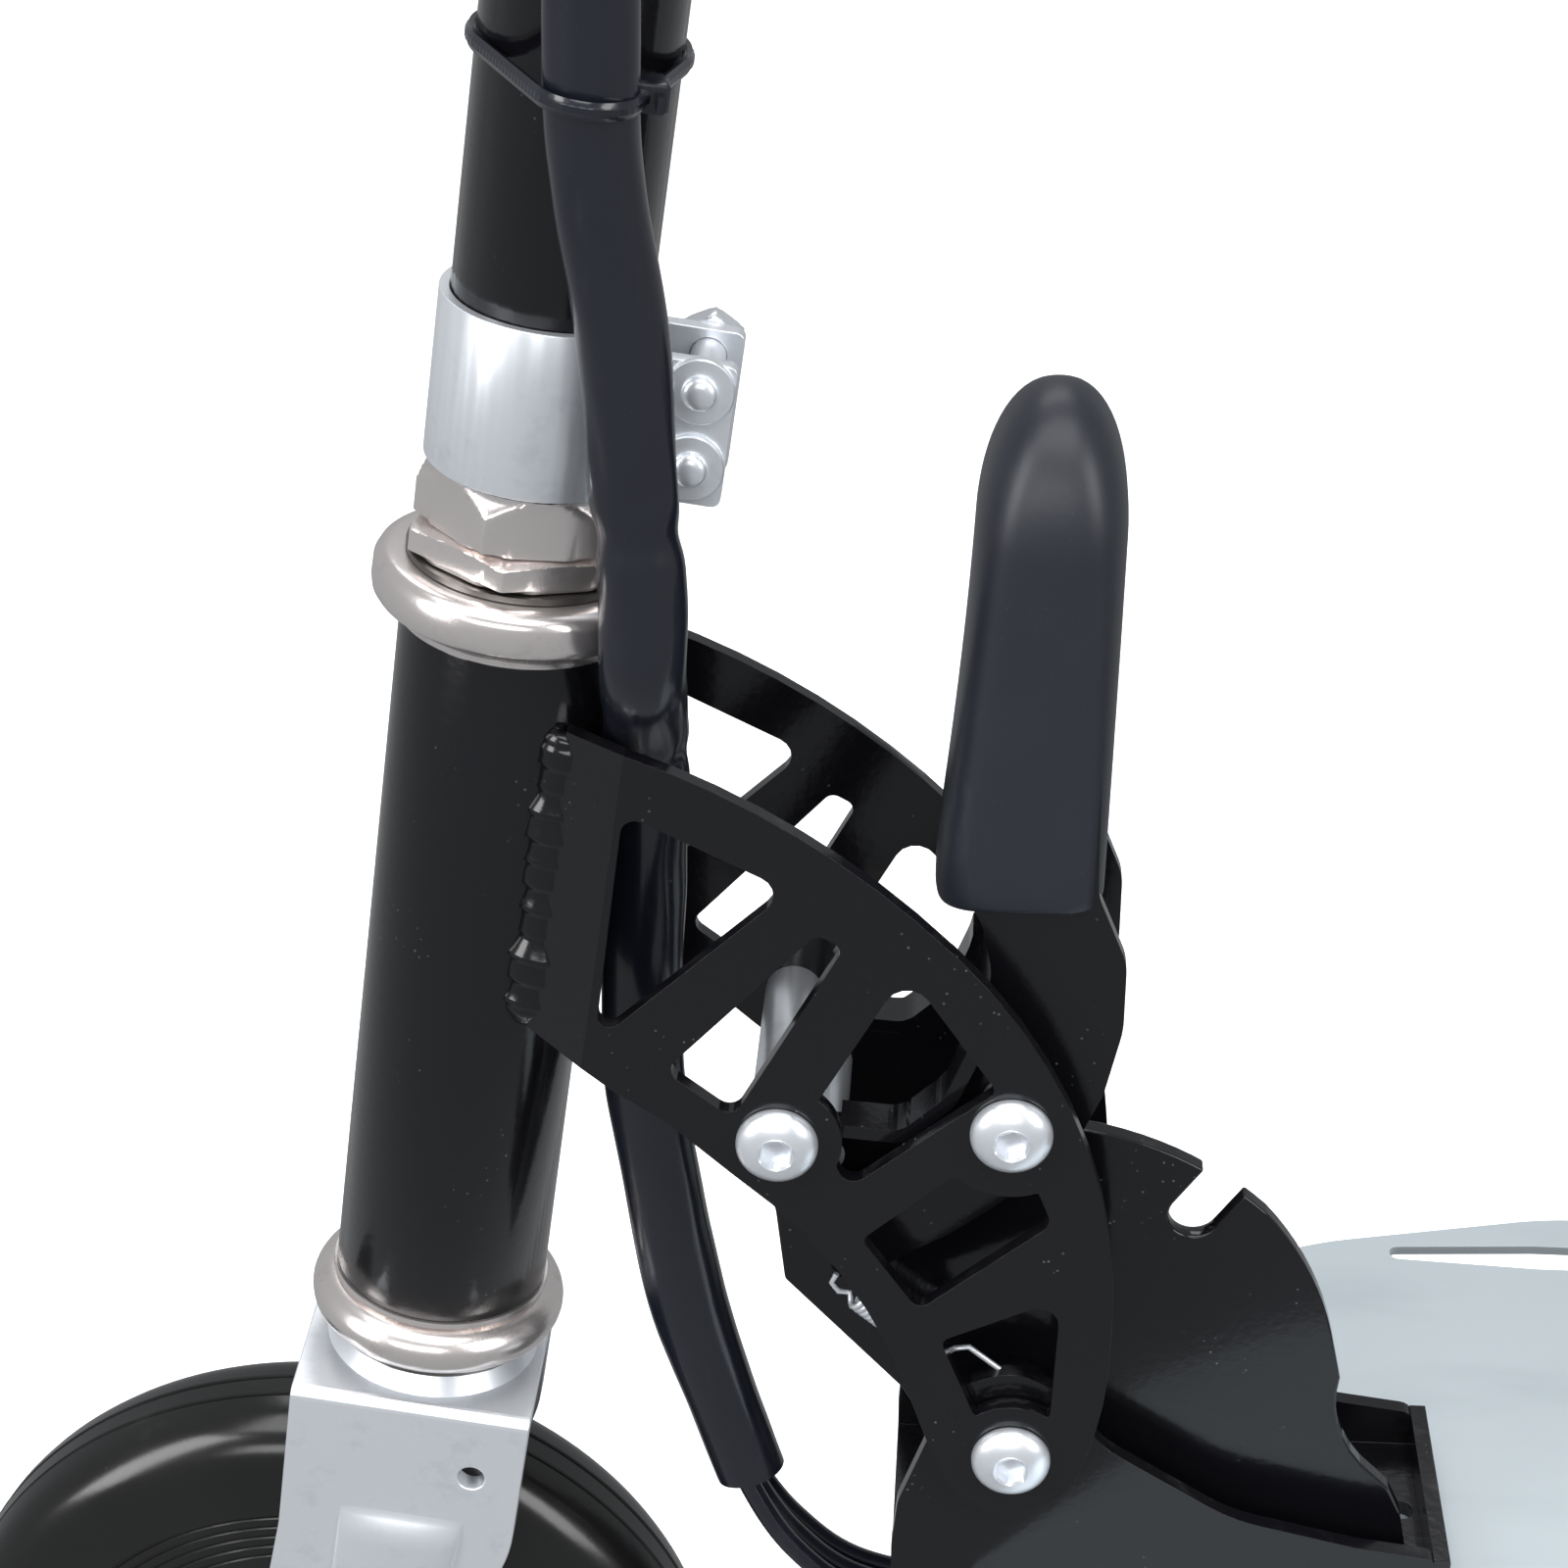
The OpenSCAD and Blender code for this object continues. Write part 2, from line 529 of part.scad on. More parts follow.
// ---- side panel: socket, switch and breaker ----
panel_z = pan_floor + 44;
socket_x = pan_rear + 70;
switch_x = socket_x - 30;
breaker_x = socket_x + 28;
socket_d = 17;
breaker_d = 12;
grommet_z = deck_under - 20;
module charge_socket() color("#333539") translate([socket_x, pan_w / 2, panel_z]) rotate([-90, 0, 0]) difference() {
    union() {
        cylinder(d = 22, h = 4);
        translate([0, 0, -14]) cylinder(d = socket_d, h = 15);
    }
    translate([0, 0, -8]) cylinder(d = 12, h = 20);
}

rocker_pivot_y = pan_w / 2 - 1;
rocker_pin_d = 2;
module switch_housing() color("#111214") {
    difference() {
        union() {
            block([switch_x - 14, pan_w / 2, panel_z - 10.5], [switch_x + 14, pan_w / 2 + 2.5, panel_z + 10.5]);
            block([switch_x - 10.5, pan_w / 2 - 16, panel_z - 7], [switch_x + 10.5, pan_w / 2 + eps, panel_z + 7]);
        }
        block([switch_x - 8.5, pan_w / 2 - 8, panel_z - 5.5], [switch_x + 8.5, pan_w / 2 + 4, panel_z + 5.5]);
        translate([switch_x, rocker_pivot_y, panel_z - 6.3]) cylinder(d = rocker_pin_d + 2 * run_fit, h = 12.6);
    }
    translate([breaker_x, pan_w / 2, panel_z]) rotate([-90, 0, 0]) difference() {
        union() {
            cylinder(d = 17, h = 3);
            translate([0, 0, -12]) cylinder(d = breaker_d, h = 12 + eps);
        }
        translate([0, 0, -10]) cylinder(d = button_d + 2 * run_fit, h = 14);
    }
}
module switch_rocker() color("#8f1d1a") translate([switch_x, rocker_pivot_y, panel_z]) {
    translate([0, 0, -5]) linear_extrude(10)
        polygon([[-6.5, -1.2], [6.5, -1.2], [6.5, 2.8], [0, 4.2], [-6.5, 5.6]]);
    translate([0, 0, -6]) cylinder(d = rocker_pin_d, h = 12);
}
button_d = 7;
module breaker_button() color("#d8d9da") translate([breaker_x, pan_w / 2 - 7, panel_z]) rotate([-90, 0, 0])
    cylinder(d = button_d, h = 13);

// ---- ladder frame ----
// The front edge of each plate folds inward along a line parallel to the head tube
bend_top = [66, 138.5];
bend_foot = [74.5, 79];
ladder_outline = concat(
    arc3(bend_top, [38, 124.5], [13, 104], 8), arc3([12.5, 103.6], [-9.6, 69.5], [-16.6, 30], 9),
    arc3([-16.6, 28], [-16, 14], [-12, -4], 4), arc3([-11.4, -5.4], [0, -12.6], [11.4, -5.4], 6),
    [[15, 3]], arc3([19, 15], [31.5, 40], [49, 58.5], 6), [[60, 68.5], [69, 74.5], bend_foot]
);
module ladder_holes() {
    polygon(rounded([[66.4, 128, 2.5], [39.5, 114.5, 3.5], [72.2, 84, 2]]));
    polygon(rounded([[60.5, 79, 2.5], [49, 70, 2.5], [30.5, 104, 1.9], [35, 106.5, 1.9]]));
    difference() {
        polygon(rounded([[20.2, 100, 4], [4.6, 77, 1.8], [29.5, 56.5, 2.5], [36, 71.5, 2]]));
        translate(bolt_1) circle(r = 11);
    }
    difference() {
        polygon(rounded([[27, 46, 1.5], [17, 31.5, 2], [-5.5, 50.5, 3], [-2.5, 58, 3], [12, 59.5, 3]]));
        translate(bolt_2) circle(r = 13);
    }
    difference() {
        polygon(rounded([[13, 25, 1.5], [6.6, 8.5, 2], [-6.6, 8.5, 2], [-7.6, 35, 3.5]]));
        circle(r = 11);
    }
}
plate_in = plate_gap / 2;
plate_out = plate_in + plate_t;
// Distance of the head tube's axis ahead of a neck point
function axis_x(z) = steer_x - z * tan(rake);
weld_x = 12;
weld_y = sqrt(pow(head_tube_d / 2, 2) - pow(weld_x, 2));
module ladder_plate() color("#1c1c1f") at_hinge() {
    difference() {
        plate(plate_in, plate_out) polygon(ladder_outline);
        plate(plate_in - 1, plate_out + 1) ladder_holes();
        for (p = [bolt_1, bolt_2, [0, 0]]) rod(p[0], p[1], cross_bolt_d, 0, 60);
    }
    flange();
}
module flange() {
    reach_top = [axis_x(bend_top[1]) - weld_x, weld_y];
    reach_foot = [axis_x(bend_foot[1]) - weld_x, weld_y];
    polyhedron(
        [
            [bend_top[0], plate_in, bend_top[1]], [bend_top[0], plate_out, bend_top[1]],
            [reach_top[0], weld_y + plate_t + 0.5, bend_top[1]], [reach_top[0], weld_y + 0.2, bend_top[1]],
            [bend_foot[0], plate_in, bend_foot[1]], [bend_foot[0], plate_out, bend_foot[1]],
            [reach_foot[0], weld_y + plate_t + 0.5, bend_foot[1] + 3], [reach_foot[0], weld_y + 0.2, bend_foot[1] + 3]
        ],
        [[0, 1, 2, 3], [7, 6, 5, 4], [0, 4, 5, 1], [1, 5, 6, 2], [2, 6, 7, 3], [3, 7, 4, 0]]
    );
}
module left_ladder_plate() ladder_plate();
module right_ladder_plate() mirror([0, 1, 0]) ladder_plate();
head_foot = 20;
head_top = head_foot + head_tube_len;
cup_h = 11;
module head_tube() color("#1c1c1f") at_steering() translate([0, 0, head_foot]) difference() {
    cylinder(d = head_tube_d, h = head_tube_len);
    translate([0, 0, -1]) cylinder(d = head_tube_d - 4, h = head_tube_len + 2);
}
module cup(d, h) rotate_extrude() polygon(rounded([
    [steerer_d / 2 + 1.5, 0, 0], [d / 2 - 2, 0, 1.5], [d / 2, h * 0.35, 2], [d / 2, h * 0.7, 2],
    [head_tube_d / 2 + 0.5, h, 0.5], [steerer_d / 2 + 1.5, h, 0]
]));
module headset_cups() color("silver") at_steering() {
    translate([0, 0, head_foot - cup_h]) cup(46, cup_h);
    translate([0, 0, head_top + cup_h]) mirror([0, 0, 1]) cup(48, cup_h);
}
bearing_h = 1;
module headset_bearings() color("gray") at_steering() for (s = [head_foot - cup_h - bearing_h - 0.2, head_top + cup_h + 0.2])
    translate([0, 0, s]) difference() {
        cylinder(d = 38, h = bearing_h);
        translate([0, 0, -1]) cylinder(d = steerer_d + 2.4, h = 5);
    }
bolt_head_d = 14;
module cross_bolts() color("silver") at_hinge() for (p = [bolt_1, bolt_2, [0, 0]]) {
    rod(p[0], p[1], cross_bolt_d, -plate_out - 9, plate_out);
    translate([p[0], plate_out, p[1]]) rotate([-90, 0, 0]) rotate_extrude() polygon(concat(
        [[0, 0]], [for (a = [0:15:60]) [bolt_head_d / 2 * cos(a), 0.8 + 4.4 * sin(a)]], [[2.6, 4.6], [2.6, 2], [0, 2]]
    ));
    hex_nut(p[0], p[1], 15, cross_bolt_d, -plate_out - 7, -plate_out);
}
module spacer_sleeves() color("silver") at_hinge() for (p = [bolt_1, bolt_2])
    ring(p[0], p[1], sleeve_d, cross_bolt_d, -plate_in, plate_in);

// ---- lock lever ----
cheek_in = lever_outer - lever_t;
cheek_outline = [
    [-10, 158, 7], [-6, 165, 5], [3, 165, 5], [7.5, 158, 7], [10.5, 135, 30], [13.5, 113, 8], [8, 104, 8],
    [6.2, 95, 10], [7.5, 81, 10], [11.5, 71, 9], [20, 63, 6], [34, 64, 3], [43.4, 56, 4], [42.5, 45, 9],
    [38.5, 33, 8], [29, 30, 9], [18, 37.5, 6], [12, 41, 8], [4, 47.5, 10], [-8, 58, 8], [-13.5, 71, 10],
    [-16.3, 84, 20], [-16.3, 97, 10], [-11, 110, 10]
];
module lock_lever() color("#19191b") at_hinge() difference() {
    union() {
        both_sides() plate(cheek_in, lever_outer) polygon(rounded(cheek_outline));
        plate(-lever_outer, lever_outer) polygon([
            [8.5, 150], [10.5, 135], [13.5, 113], [8, 104], [6.2, 95], [7, 86], [4.4, 86], [3.6, 95.5], [5.4, 105],
            [11, 114], [8, 134.5], [6, 149.5]
        ]);
        both_sides() plate(lever_outer - lever_t, lever_outer + 5) polygon(rounded([
            [6.9, 84, 0], [7.5, 81, 8], [11.5, 71, 8], [20, 63, 5], [31, 63.9, 0], [31, 66.3, 0], [20.8, 65.5, 5],
            [13.6, 72.3, 8], [10, 81.5, 8], [9.4, 84, 0]
        ]));
    }
    rod(bolt_2[0], bolt_2[1], sleeve_d + 2 * run_fit, -60, 60);
    rod(pin_rest[0], pin_rest[1], lock_pin_d, -60, 60);
}
grip_wall = 2;
grip_foot = 107;
module lever_grip() color("#15171c") at_hinge() difference() {
    plate(-lever_outer - grip_wall, lever_outer + grip_wall) polygon(rounded([
        [-12.5, grip_foot, 3], [-12, 150, 0], [-11.5, 184, 9], [-2, 193.5, 6], [9, 191, 10], [14.5, 168, 20],
        [16, 150, 20], [16, grip_foot, 3]
    ]));
    plate(-lever_outer - run_fit, lever_outer + run_fit) polygon([
        [-18, 80], [-17, 100], [-11.3, 110.5], [-10.4, 159], [-6, 165.8], [3, 165.8], [8, 158.5],
        [11, 135.5], [14.2, 112], [14.2, 104], [18, 80]
    ]);
}
module lock_pin() color("silver") at_hinge() rod(pin_rest[0], pin_rest[1], lock_pin_d, -lever_outer, lever_outer);
module lock_spring() color("silver") at_hinge() {
    coil = spring_foot - spring_top;
    translate([spring_top[0], spring_y, spring_top[1]]) rotate([0, atan2(coil[0], coil[1]), 0])
        cylinder(d = spring_d, h = norm(coil), $fn = 32);
}

// ---- fork and headset ----
leg_outline = [
    [-21, crown_s + 1, 0], [22.5, crown_s + 1, 0], [22.5, -28, 30], [fork_offset + 15, axle_s + 16, 20],
    [fork_offset + 14, axle_s - 15, 14], [fork_offset - 14, axle_s - 15, 14], [fork_offset - 15, axle_s + 16, 20],
    [-20.5, -28, 30]
];
module fork() color("silver") at_steering() difference() {
    union() {
        intersection() {
            plate(-40, 40) polygon(rounded(leg_outline));
            translate([-50, 0, 0]) rotate([90, 0, 90]) linear_extrude(100) polygon(rounded([
                [-fork_w / 2, axle_s - 40, 0], [-fork_w / 2, crown_s, 2], [fork_w / 2, crown_s, 2],
                [fork_w / 2, axle_s - 40, 0], [fork_w / 2 - fork_t, axle_s - 40, 0],
                [fork_w / 2 - fork_t, crown_s - fork_t, 1], [fork_t - fork_w / 2, crown_s - fork_t, 1],
                [fork_t - fork_w / 2, axle_s - 40, 0]
            ]));
        }
        translate([0, 0, crown_s - fork_t]) cylinder(d = steerer_d, h = clamp_top - 3 - crown_s + fork_t);
    }
    translate([0, 0, -10]) cylinder(d = steerer_d - 5, h = 240);
    rod(fork_offset, axle_s, axle_d + 2 * run_fit, -60, 60);
    rod(-11.6, -10.8, 5, -60, 60);
}
module crown_race() color("silver") at_steering() translate([0, 0, crown_s]) difference() {
    cylinder(r1 = 19.5, r2 = 17, h = head_foot - cup_h - bearing_h - 0.4 - crown_s);
    translate([0, 0, -1]) cylinder(d = steerer_d, h = 20);
}
race_nut_s = head_top + cup_h + bearing_h + 0.4;
module headset_nuts() color("silver") at_steering() {
    difference() {
        union() {
            translate([0, 0, race_nut_s]) cylinder(d = 38, h = 2.5);
            translate([0, 0, race_nut_s + 2.5]) cylinder(d = 37, h = 4.5, $fn = 6);
        }
        cylinder(d = steerer_d, h = 400);
    }
    difference() {
        union() {
            translate([0, 0, race_nut_s + 7.3]) rotate(14) cylinder(d = 35, h = 5.7, $fn = 6);
            translate([0, 0, race_nut_s + 13]) cylinder(d = 29, h = 1.4);
        }
        cylinder(d = steerer_d, h = 400);
    }
}

// ---- stem and handlebar ----
clamp_foot = head_top + cup_h + 17.4;
clamp_h = 28;
clamp_top = clamp_foot + clamp_h;
clamp_d = 35.4;
ear_y = 6;
ear_t = 3;
clamp_bolt_x = -25.5;
clamp_bolt_s = [clamp_foot + 6.5, clamp_foot + 19.5];
module stem() color("#19191b") at_steering() difference() {
    union() {
        translate([0, 0, clamp_foot - 1]) cylinder(d = stem_d, h = bar_s - clamp_foot + 1);
        rod(0, bar_s, bar_d, -bar_w / 2, bar_w / 2);
    }
    translate([0, 0, clamp_foot - 2]) cylinder(d = steerer_d + 2 * run_fit, h = bar_s - clamp_foot - 30);
    block([-20, -1.5, clamp_foot - 2], [0, 1.5, clamp_top + 8]);
    rod(0, bar_s, bar_d - 4, 30, bar_w);
    rod(0, bar_s, bar_d - 4, -bar_w, -30);
}
module stem_clamp() color("silver") at_steering() difference() {
    union() {
        translate([0, 0, clamp_foot]) cylinder(d = clamp_d, h = clamp_h);
        both_sides() translate([0, ear_y + ear_t, clamp_foot]) rotate([90, 0, 0]) linear_extrude(ear_t)
            polygon(rounded([[-31, 0, 1.5], [-10, 0, 0], [-10, clamp_h - 4, 0], [-31, clamp_h - 4, 1.5]]));
    }
    translate([0, 0, clamp_foot - 1]) cylinder(d = stem_d + 2 * run_fit, h = clamp_h + 2);
    block([-40, -ear_y, clamp_foot - 1], [-stem_d / 2 + 3, ear_y, clamp_top + 1]);
    for (s = clamp_bolt_s) rod(clamp_bolt_x, s, 6, -30, 30);
}
module clamp_bolts() color("silver") at_steering() for (s = clamp_bolt_s) {
    rod(clamp_bolt_x, s, 6, -ear_y - ear_t - 7, ear_y + ear_t + 2.5);
    hex_nut(clamp_bolt_x, s, 11, 6, -ear_y - ear_t - 5, -ear_y - ear_t);
    ring(clamp_bolt_x, s, 10, 6, ear_y + ear_t, ear_y + ear_t + 1.2);
}
throttle_len = 52;
grip_in = bar_w / 2 - grip_len;
module grip(y0, y1) difference() {
    rod(0, bar_s, grip_d, y0, y1);
    rod(0, bar_s, bar_d + 2 * run_fit, y0 - 1, bar_w / 2 + run_fit);
}
module hand_grips() color("#111111") at_steering() {
    grip(grip_in, bar_w / 2 + 3);
    mirror([0, 1, 0]) grip(grip_in + throttle_len + 1, bar_w / 2 + 3);
}
module throttle_grip() color("#17181a") at_steering() ring(0, bar_s, grip_d + 1, bar_d + 2 * run_fit, -grip_in - throttle_len, -grip_in);
module throttle_housing() color("#17181a") at_steering() difference() {
    union() {
        rod(0, bar_s, 37, -grip_in + side_gap, -grip_in + 15);
        block([8, -grip_in + 2, bar_s - 15], [22, -grip_in + 13, bar_s - 3]);
    }
    rod(0, bar_s, bar_d + 2 * run_fit, -bar_w, 0);
}
lever_pivot = [25, grip_in - 12];
module brake_bracket() color("#1d1e20") at_steering() difference() {
    union() {
        rod(0, bar_s, 31, grip_in - 22, grip_in - 2);
        block([8, grip_in - 20, bar_s - 8], [33, grip_in - 4, bar_s + 8]);
        rod(20, bar_s, 10, grip_in - 32, grip_in - 18);
    }
    rod(0, bar_s, bar_d + 2 * run_fit, -1, bar_w);
    block([17, grip_in - 18, bar_s - 4], [40, grip_in, bar_s + 4]);
    translate([lever_pivot[0], lever_pivot[1], bar_s - 20]) cylinder(d = 5, h = 40);
}
module brake_lever() color("silver") at_steering() {
    translate([0, 0, bar_s - 3.5]) linear_extrude(7) polygon(rounded([
        [19, lever_pivot[1] - 4, 2], [31, lever_pivot[1] - 4, 4], [44, lever_pivot[1] + 26, 20],
        [51, bar_w / 2 - 30, 30], [55, bar_w / 2 - 10, 4], [47, bar_w / 2 - 8, 4], [42, bar_w / 2 - 34, 30],
        [34, lever_pivot[1] + 30, 20], [21, lever_pivot[1] + 6, 4]
    ]));
    translate([lever_pivot[0], lever_pivot[1], bar_s - 8]) cylinder(d = 5 - 2 * run_fit, h = 16);
}
module front_axle() color("silver") at_front_axle() {
    rod(0, 0, axle_d, -fork_w / 2 - 14, fork_w / 2 + 14);
    both_sides() hex_nut(0, 0, nut_across, axle_d, fork_w / 2, fork_w / 2 + nut_h);
}

// ---- cables, measured from the hinge ----
sleeve_r = 6.8;
// Behind the steering axis, to the left, and up
sleeve_places = [
    [0, 24.5, 410], [0, 24.5, 340], [1, 24.5, 285], [3.9, 24.5, 250], [7.5, 24.5, 230], [13.9, 24, 207],
    [18.2, 23.5, 183], [21.7, 23.3, 164], [23.3, 22.4, 151], [24.9, 11.5, 135], [26.3, 7, 120], [27.6, 4, 103],
    [29.5, 3, 83], [32.6, 3, 62], [37.9, 3, 42], [45.6, 3, 16], [54.9, 3, -6], [62.8, 3, -24]
];
sleeve_route = [for (p = sleeve_places) [axis_x(p[2]) - p[0], p[1], p[2]]];
cable_r = 2.4;
module cable_sleeve() color("#0f0f10") at_hinge() tube(spline(sleeve_route, 2), sleeve_r, 12);
bar_x = steer_x - bar_s * sin(rake);
bar_z = bar_s * cos(rake);
module upper_cables() color("#0f0f10") at_hinge() {
    tube(spline([
        [bar_x + 19, grip_in - 33, bar_z], [bar_x + 24, grip_in - 56, bar_z - 14], [24, 38, 690],
        [29, 27, 600], [42, 24.5, 480], [axis_x(411), 26.5, 411]
    ], 4), cable_r, 8);
    tube(spline([
        [bar_x + 20, -grip_in + 8, bar_z - 16], [bar_x + 34, -64, bar_z - 60], [38, -24, 640], [52, 10, 560],
        [47, 22, 480], [axis_x(411), 21, 411]
    ], 4), cable_r, 8);
}
module lower_cables() color("#0f0f10") at_hinge() for (i = [-1:1])
    tube(spline([
        [sleeve_route[17][0], 3 + i * 3.4, -24.6], [40, 3 + i * 4.4, -38], [28, 2 + i * 4.6, -49],
        [pan_front - hinge_x + 14, i * 4.4, grommet_z - hinge_z], [pan_front - hinge_x - 6, i * 4.2, grommet_z - hinge_z]
    ], 3), 2, 8);
tie_z = 244.4;
module cable_tie() color("#0f0f10") at_hinge() translate([axis_x(tie_z), 0, tie_z]) rotate([0, -rake, 0])
    rotate(90 + atan2(sleeve_places[3][0], sleeve_places[3][1])) difference() {
        linear_extrude(4.6) belt(stem_d / 2 + 1.3, sleeve_r + 2.1, norm([sleeve_places[3][0], sleeve_places[3][1]]));
        translate([0, 0, -1]) linear_extrude(8)
            belt(stem_d / 2 + run_fit, sleeve_r + 1.1, norm([sleeve_places[3][0], sleeve_places[3][1]]));
    }
// Outline of a belt round two circles
module belt(big, small, span) {
    lean = acos((big - small) / span);
    polygon(concat(
        [for (i = [0:24]) let (t = lean + i * (360 - 2 * lean) / 24) big * [cos(t), sin(t)]],
        [for (i = [0:12]) let (t = -lean + i * 2 * lean / 12) [span, 0] + small * [cos(t), sin(t)]]
    ));
}

deck_plate();
grip_mat();
battery_pan();
pan_screws();
neck_base();
lock_quadrant();
pivot_bush();
battery_front();
battery_rear();
motor_controller();
drive_motor();
motor_sprocket();
drive_chain();
rear_dropouts();
rear_axle();
rear_hub();
rear_tyre();
rear_sprocket();
brake_drum();
brake_cover();
brake_arm();
brake_wire();
rear_fender();
fender_screws();
stand_bracket();
kickstand();
stand_foot();
charge_socket();
switch_housing();
switch_rocker();
breaker_button();
left_ladder_plate();
right_ladder_plate();
head_tube();
headset_cups();
headset_bearings();
cross_bolts();
spacer_sleeves();
lock_lever();
lever_grip();
lock_pin();
lock_spring();
fork();
crown_race();
headset_nuts();
stem();
stem_clamp();
clamp_bolts();
hand_grips();
throttle_grip();
throttle_housing();
brake_bracket();
brake_lever();
front_hub();
front_tyre();
front_axle();
cable_sleeve();
upper_cables();
lower_cables();
cable_tie();
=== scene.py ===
# %% [markdown]
# An electric kick scooter, seen close up at its folding neck.
# The measured model is loaded first and stays as it is. Everything below gives it its finishes,
# and builds the pieces that need more shape than the measured model holds, such as the coiled
# spring, the welds and the creased sleeve round the cables.

# %% Load the measured model
import json
import math

import bmesh
import bpy
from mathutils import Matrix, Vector, noise


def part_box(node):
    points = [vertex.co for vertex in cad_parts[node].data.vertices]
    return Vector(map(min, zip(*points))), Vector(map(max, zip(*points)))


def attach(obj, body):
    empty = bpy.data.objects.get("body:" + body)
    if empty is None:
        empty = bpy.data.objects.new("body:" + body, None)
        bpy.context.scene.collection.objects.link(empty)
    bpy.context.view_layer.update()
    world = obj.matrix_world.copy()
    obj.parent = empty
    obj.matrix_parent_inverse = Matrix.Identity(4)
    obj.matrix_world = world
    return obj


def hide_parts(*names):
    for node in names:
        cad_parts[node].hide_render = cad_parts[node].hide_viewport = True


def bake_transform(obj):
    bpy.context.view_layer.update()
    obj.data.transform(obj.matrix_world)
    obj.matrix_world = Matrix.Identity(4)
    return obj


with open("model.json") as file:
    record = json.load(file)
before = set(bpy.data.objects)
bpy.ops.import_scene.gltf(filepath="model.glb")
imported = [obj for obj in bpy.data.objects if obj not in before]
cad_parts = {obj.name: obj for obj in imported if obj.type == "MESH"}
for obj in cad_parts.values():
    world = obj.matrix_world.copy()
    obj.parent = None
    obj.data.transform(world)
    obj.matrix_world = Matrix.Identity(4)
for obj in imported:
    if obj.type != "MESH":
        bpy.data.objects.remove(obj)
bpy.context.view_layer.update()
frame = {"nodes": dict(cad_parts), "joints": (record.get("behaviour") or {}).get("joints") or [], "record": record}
nodes = frame["nodes"]
joints = {joint["name"]: joint for joint in frame["joints"]}

# %% [markdown]
# Most pieces sit on one of three places: the hinge at the foot of the neck, the tilted steering
# axis, and the rear axle. The hinge and the steering axis each get a small function that turns
# millimetres measured from them into a point of the scene.

# %% Places to measure from
MM = 0.001
hinge = Vector(joints["fold"]["pos_m"])
crown = Vector(joints["steer"]["pos_m"])
column = Vector(joints["steer"]["axis"]).normalized()
left = Vector((0, 1, 0))
ahead = left.cross(column).normalized()
front_centre = Vector(joints["front_roll"]["pos_m"])
rear_centre = Vector(joints["rear_roll"]["pos_m"])


def neck(x, y, z):
    """A point measured from the hinge, in millimetres: forward, left, up."""
    return hinge + Vector((x, y, z)) * MM


def steer(x, y, s):
    """A point measured from the fork crown: forward and left of the column, and up along it."""
    return crown + (ahead * x + left * y + column * s) * MM


print("hinge", tuple(round(v, 4) for v in hinge), "column", tuple(round(v, 4) for v in column))

# %% [markdown]
# A camera is a point, a direction and a lens. A long lens from about half a metre keeps the
# plates nearly square-on while the ones behind still shift by a few centimetres.

# %% Camera
LENS_MM, SENSOR_MM, NEAREST_M = 78.4, 36, 0.01
look_from = neck(10.66, 505.70, 391.63)
look_at = neck(41.93, 0, 120.36)
camera_data = bpy.data.cameras.new("camera")
camera_data.lens = LENS_MM
camera_data.sensor_width = SENSOR_MM
camera_data.clip_start = NEAREST_M
camera = bpy.data.objects.new("camera", camera_data)
camera.location = look_from
camera.rotation_euler = (look_at - look_from).to_track_quat("-Z", "Y").to_euler()
bpy.context.scene.collection.objects.link(camera)
bpy.context.scene.camera = camera
print("camera stands", round((look_at - look_from).length, 3), "m away")

# %% [markdown]
# Soft studio light: large area lamps that show as long clean reflections in gloss paint, over a
# white sweep. Bright zinc and black paint are both mostly reflection, so the lamps' sizes and
# places matter more than their strengths. The backdrop is white to the camera alone, and dim in
# reflections, or else black paint would look grey all over.

# %% Floor and world
SKY_STRENGTH, FLOOR_REACH, FLOOR_DROP = 0.36, 6, 0.0005
scene = bpy.context.scene
scene.view_settings.view_transform = "Standard"
scene.view_settings.look = "None"
world = bpy.data.worlds.new("studio")
world.use_nodes = True
sky = world.node_tree
background = sky.nodes["Background"]
background.inputs["Color"].default_value = (0.94, 0.97, 1.0, 1)
background.inputs["Strength"].default_value = SKY_STRENGTH
backdrop = sky.nodes.new("ShaderNodeBackground")
backdrop.inputs["Color"].default_value = (1, 1, 1, 1)
backdrop.inputs["Strength"].default_value = 1.0
chooser = sky.nodes.new("ShaderNodeMixShader")
sky.links.new(sky.nodes.new("ShaderNodeLightPath").outputs["Is Camera Ray"], chooser.inputs[0])
sky.links.new(background.outputs[0], chooser.inputs[1])
sky.links.new(backdrop.outputs[0], chooser.inputs[2])
sky.links.new(chooser.outputs[0], sky.nodes["World Output"].inputs[0])
scene.world = world
floor_mesh = bpy.data.meshes.new("floor")
floor_corners = [(x * FLOOR_REACH, y * FLOOR_REACH, 0) for x, y in ((-1, -1), (1, -1), (1, 1), (-1, 1))]
floor_mesh.from_pydata(floor_corners, [], [(0, 1, 2, 3)])
floor = bpy.data.objects.new("floor", floor_mesh)
floor.location.z = -FLOOR_DROP
floor.visible_glossy = False
floor.visible_diffuse = False
scene.collection.objects.link(floor)
print("floor", 2 * FLOOR_REACH, "m wide, sky strength", SKY_STRENGTH)

# %% [markdown]
# The lamps are soft boxes, as in a small product studio. Each is given by where it stands from
# the neck, how large it is and how strong. One from above fills, the front and rear ones draw
# the long streaks down the tubes, and the far one lifts the edges.


# %% Lamps
def lamp(name, offset, size, power):
    """A rectangular soft box at an offset in metres from the neck, facing it."""
    data = bpy.data.lights.new(name, "AREA")
    data.shape = "RECTANGLE"
    data.size, data.size_y = size
    data.energy = power
    box = bpy.data.objects.new(name, data)
    box.location = neck_middle + Vector(offset)
    box.rotation_euler = (neck_middle - box.location).to_track_quat("-Z", "Y").to_euler()
    scene.collection.objects.link(box)


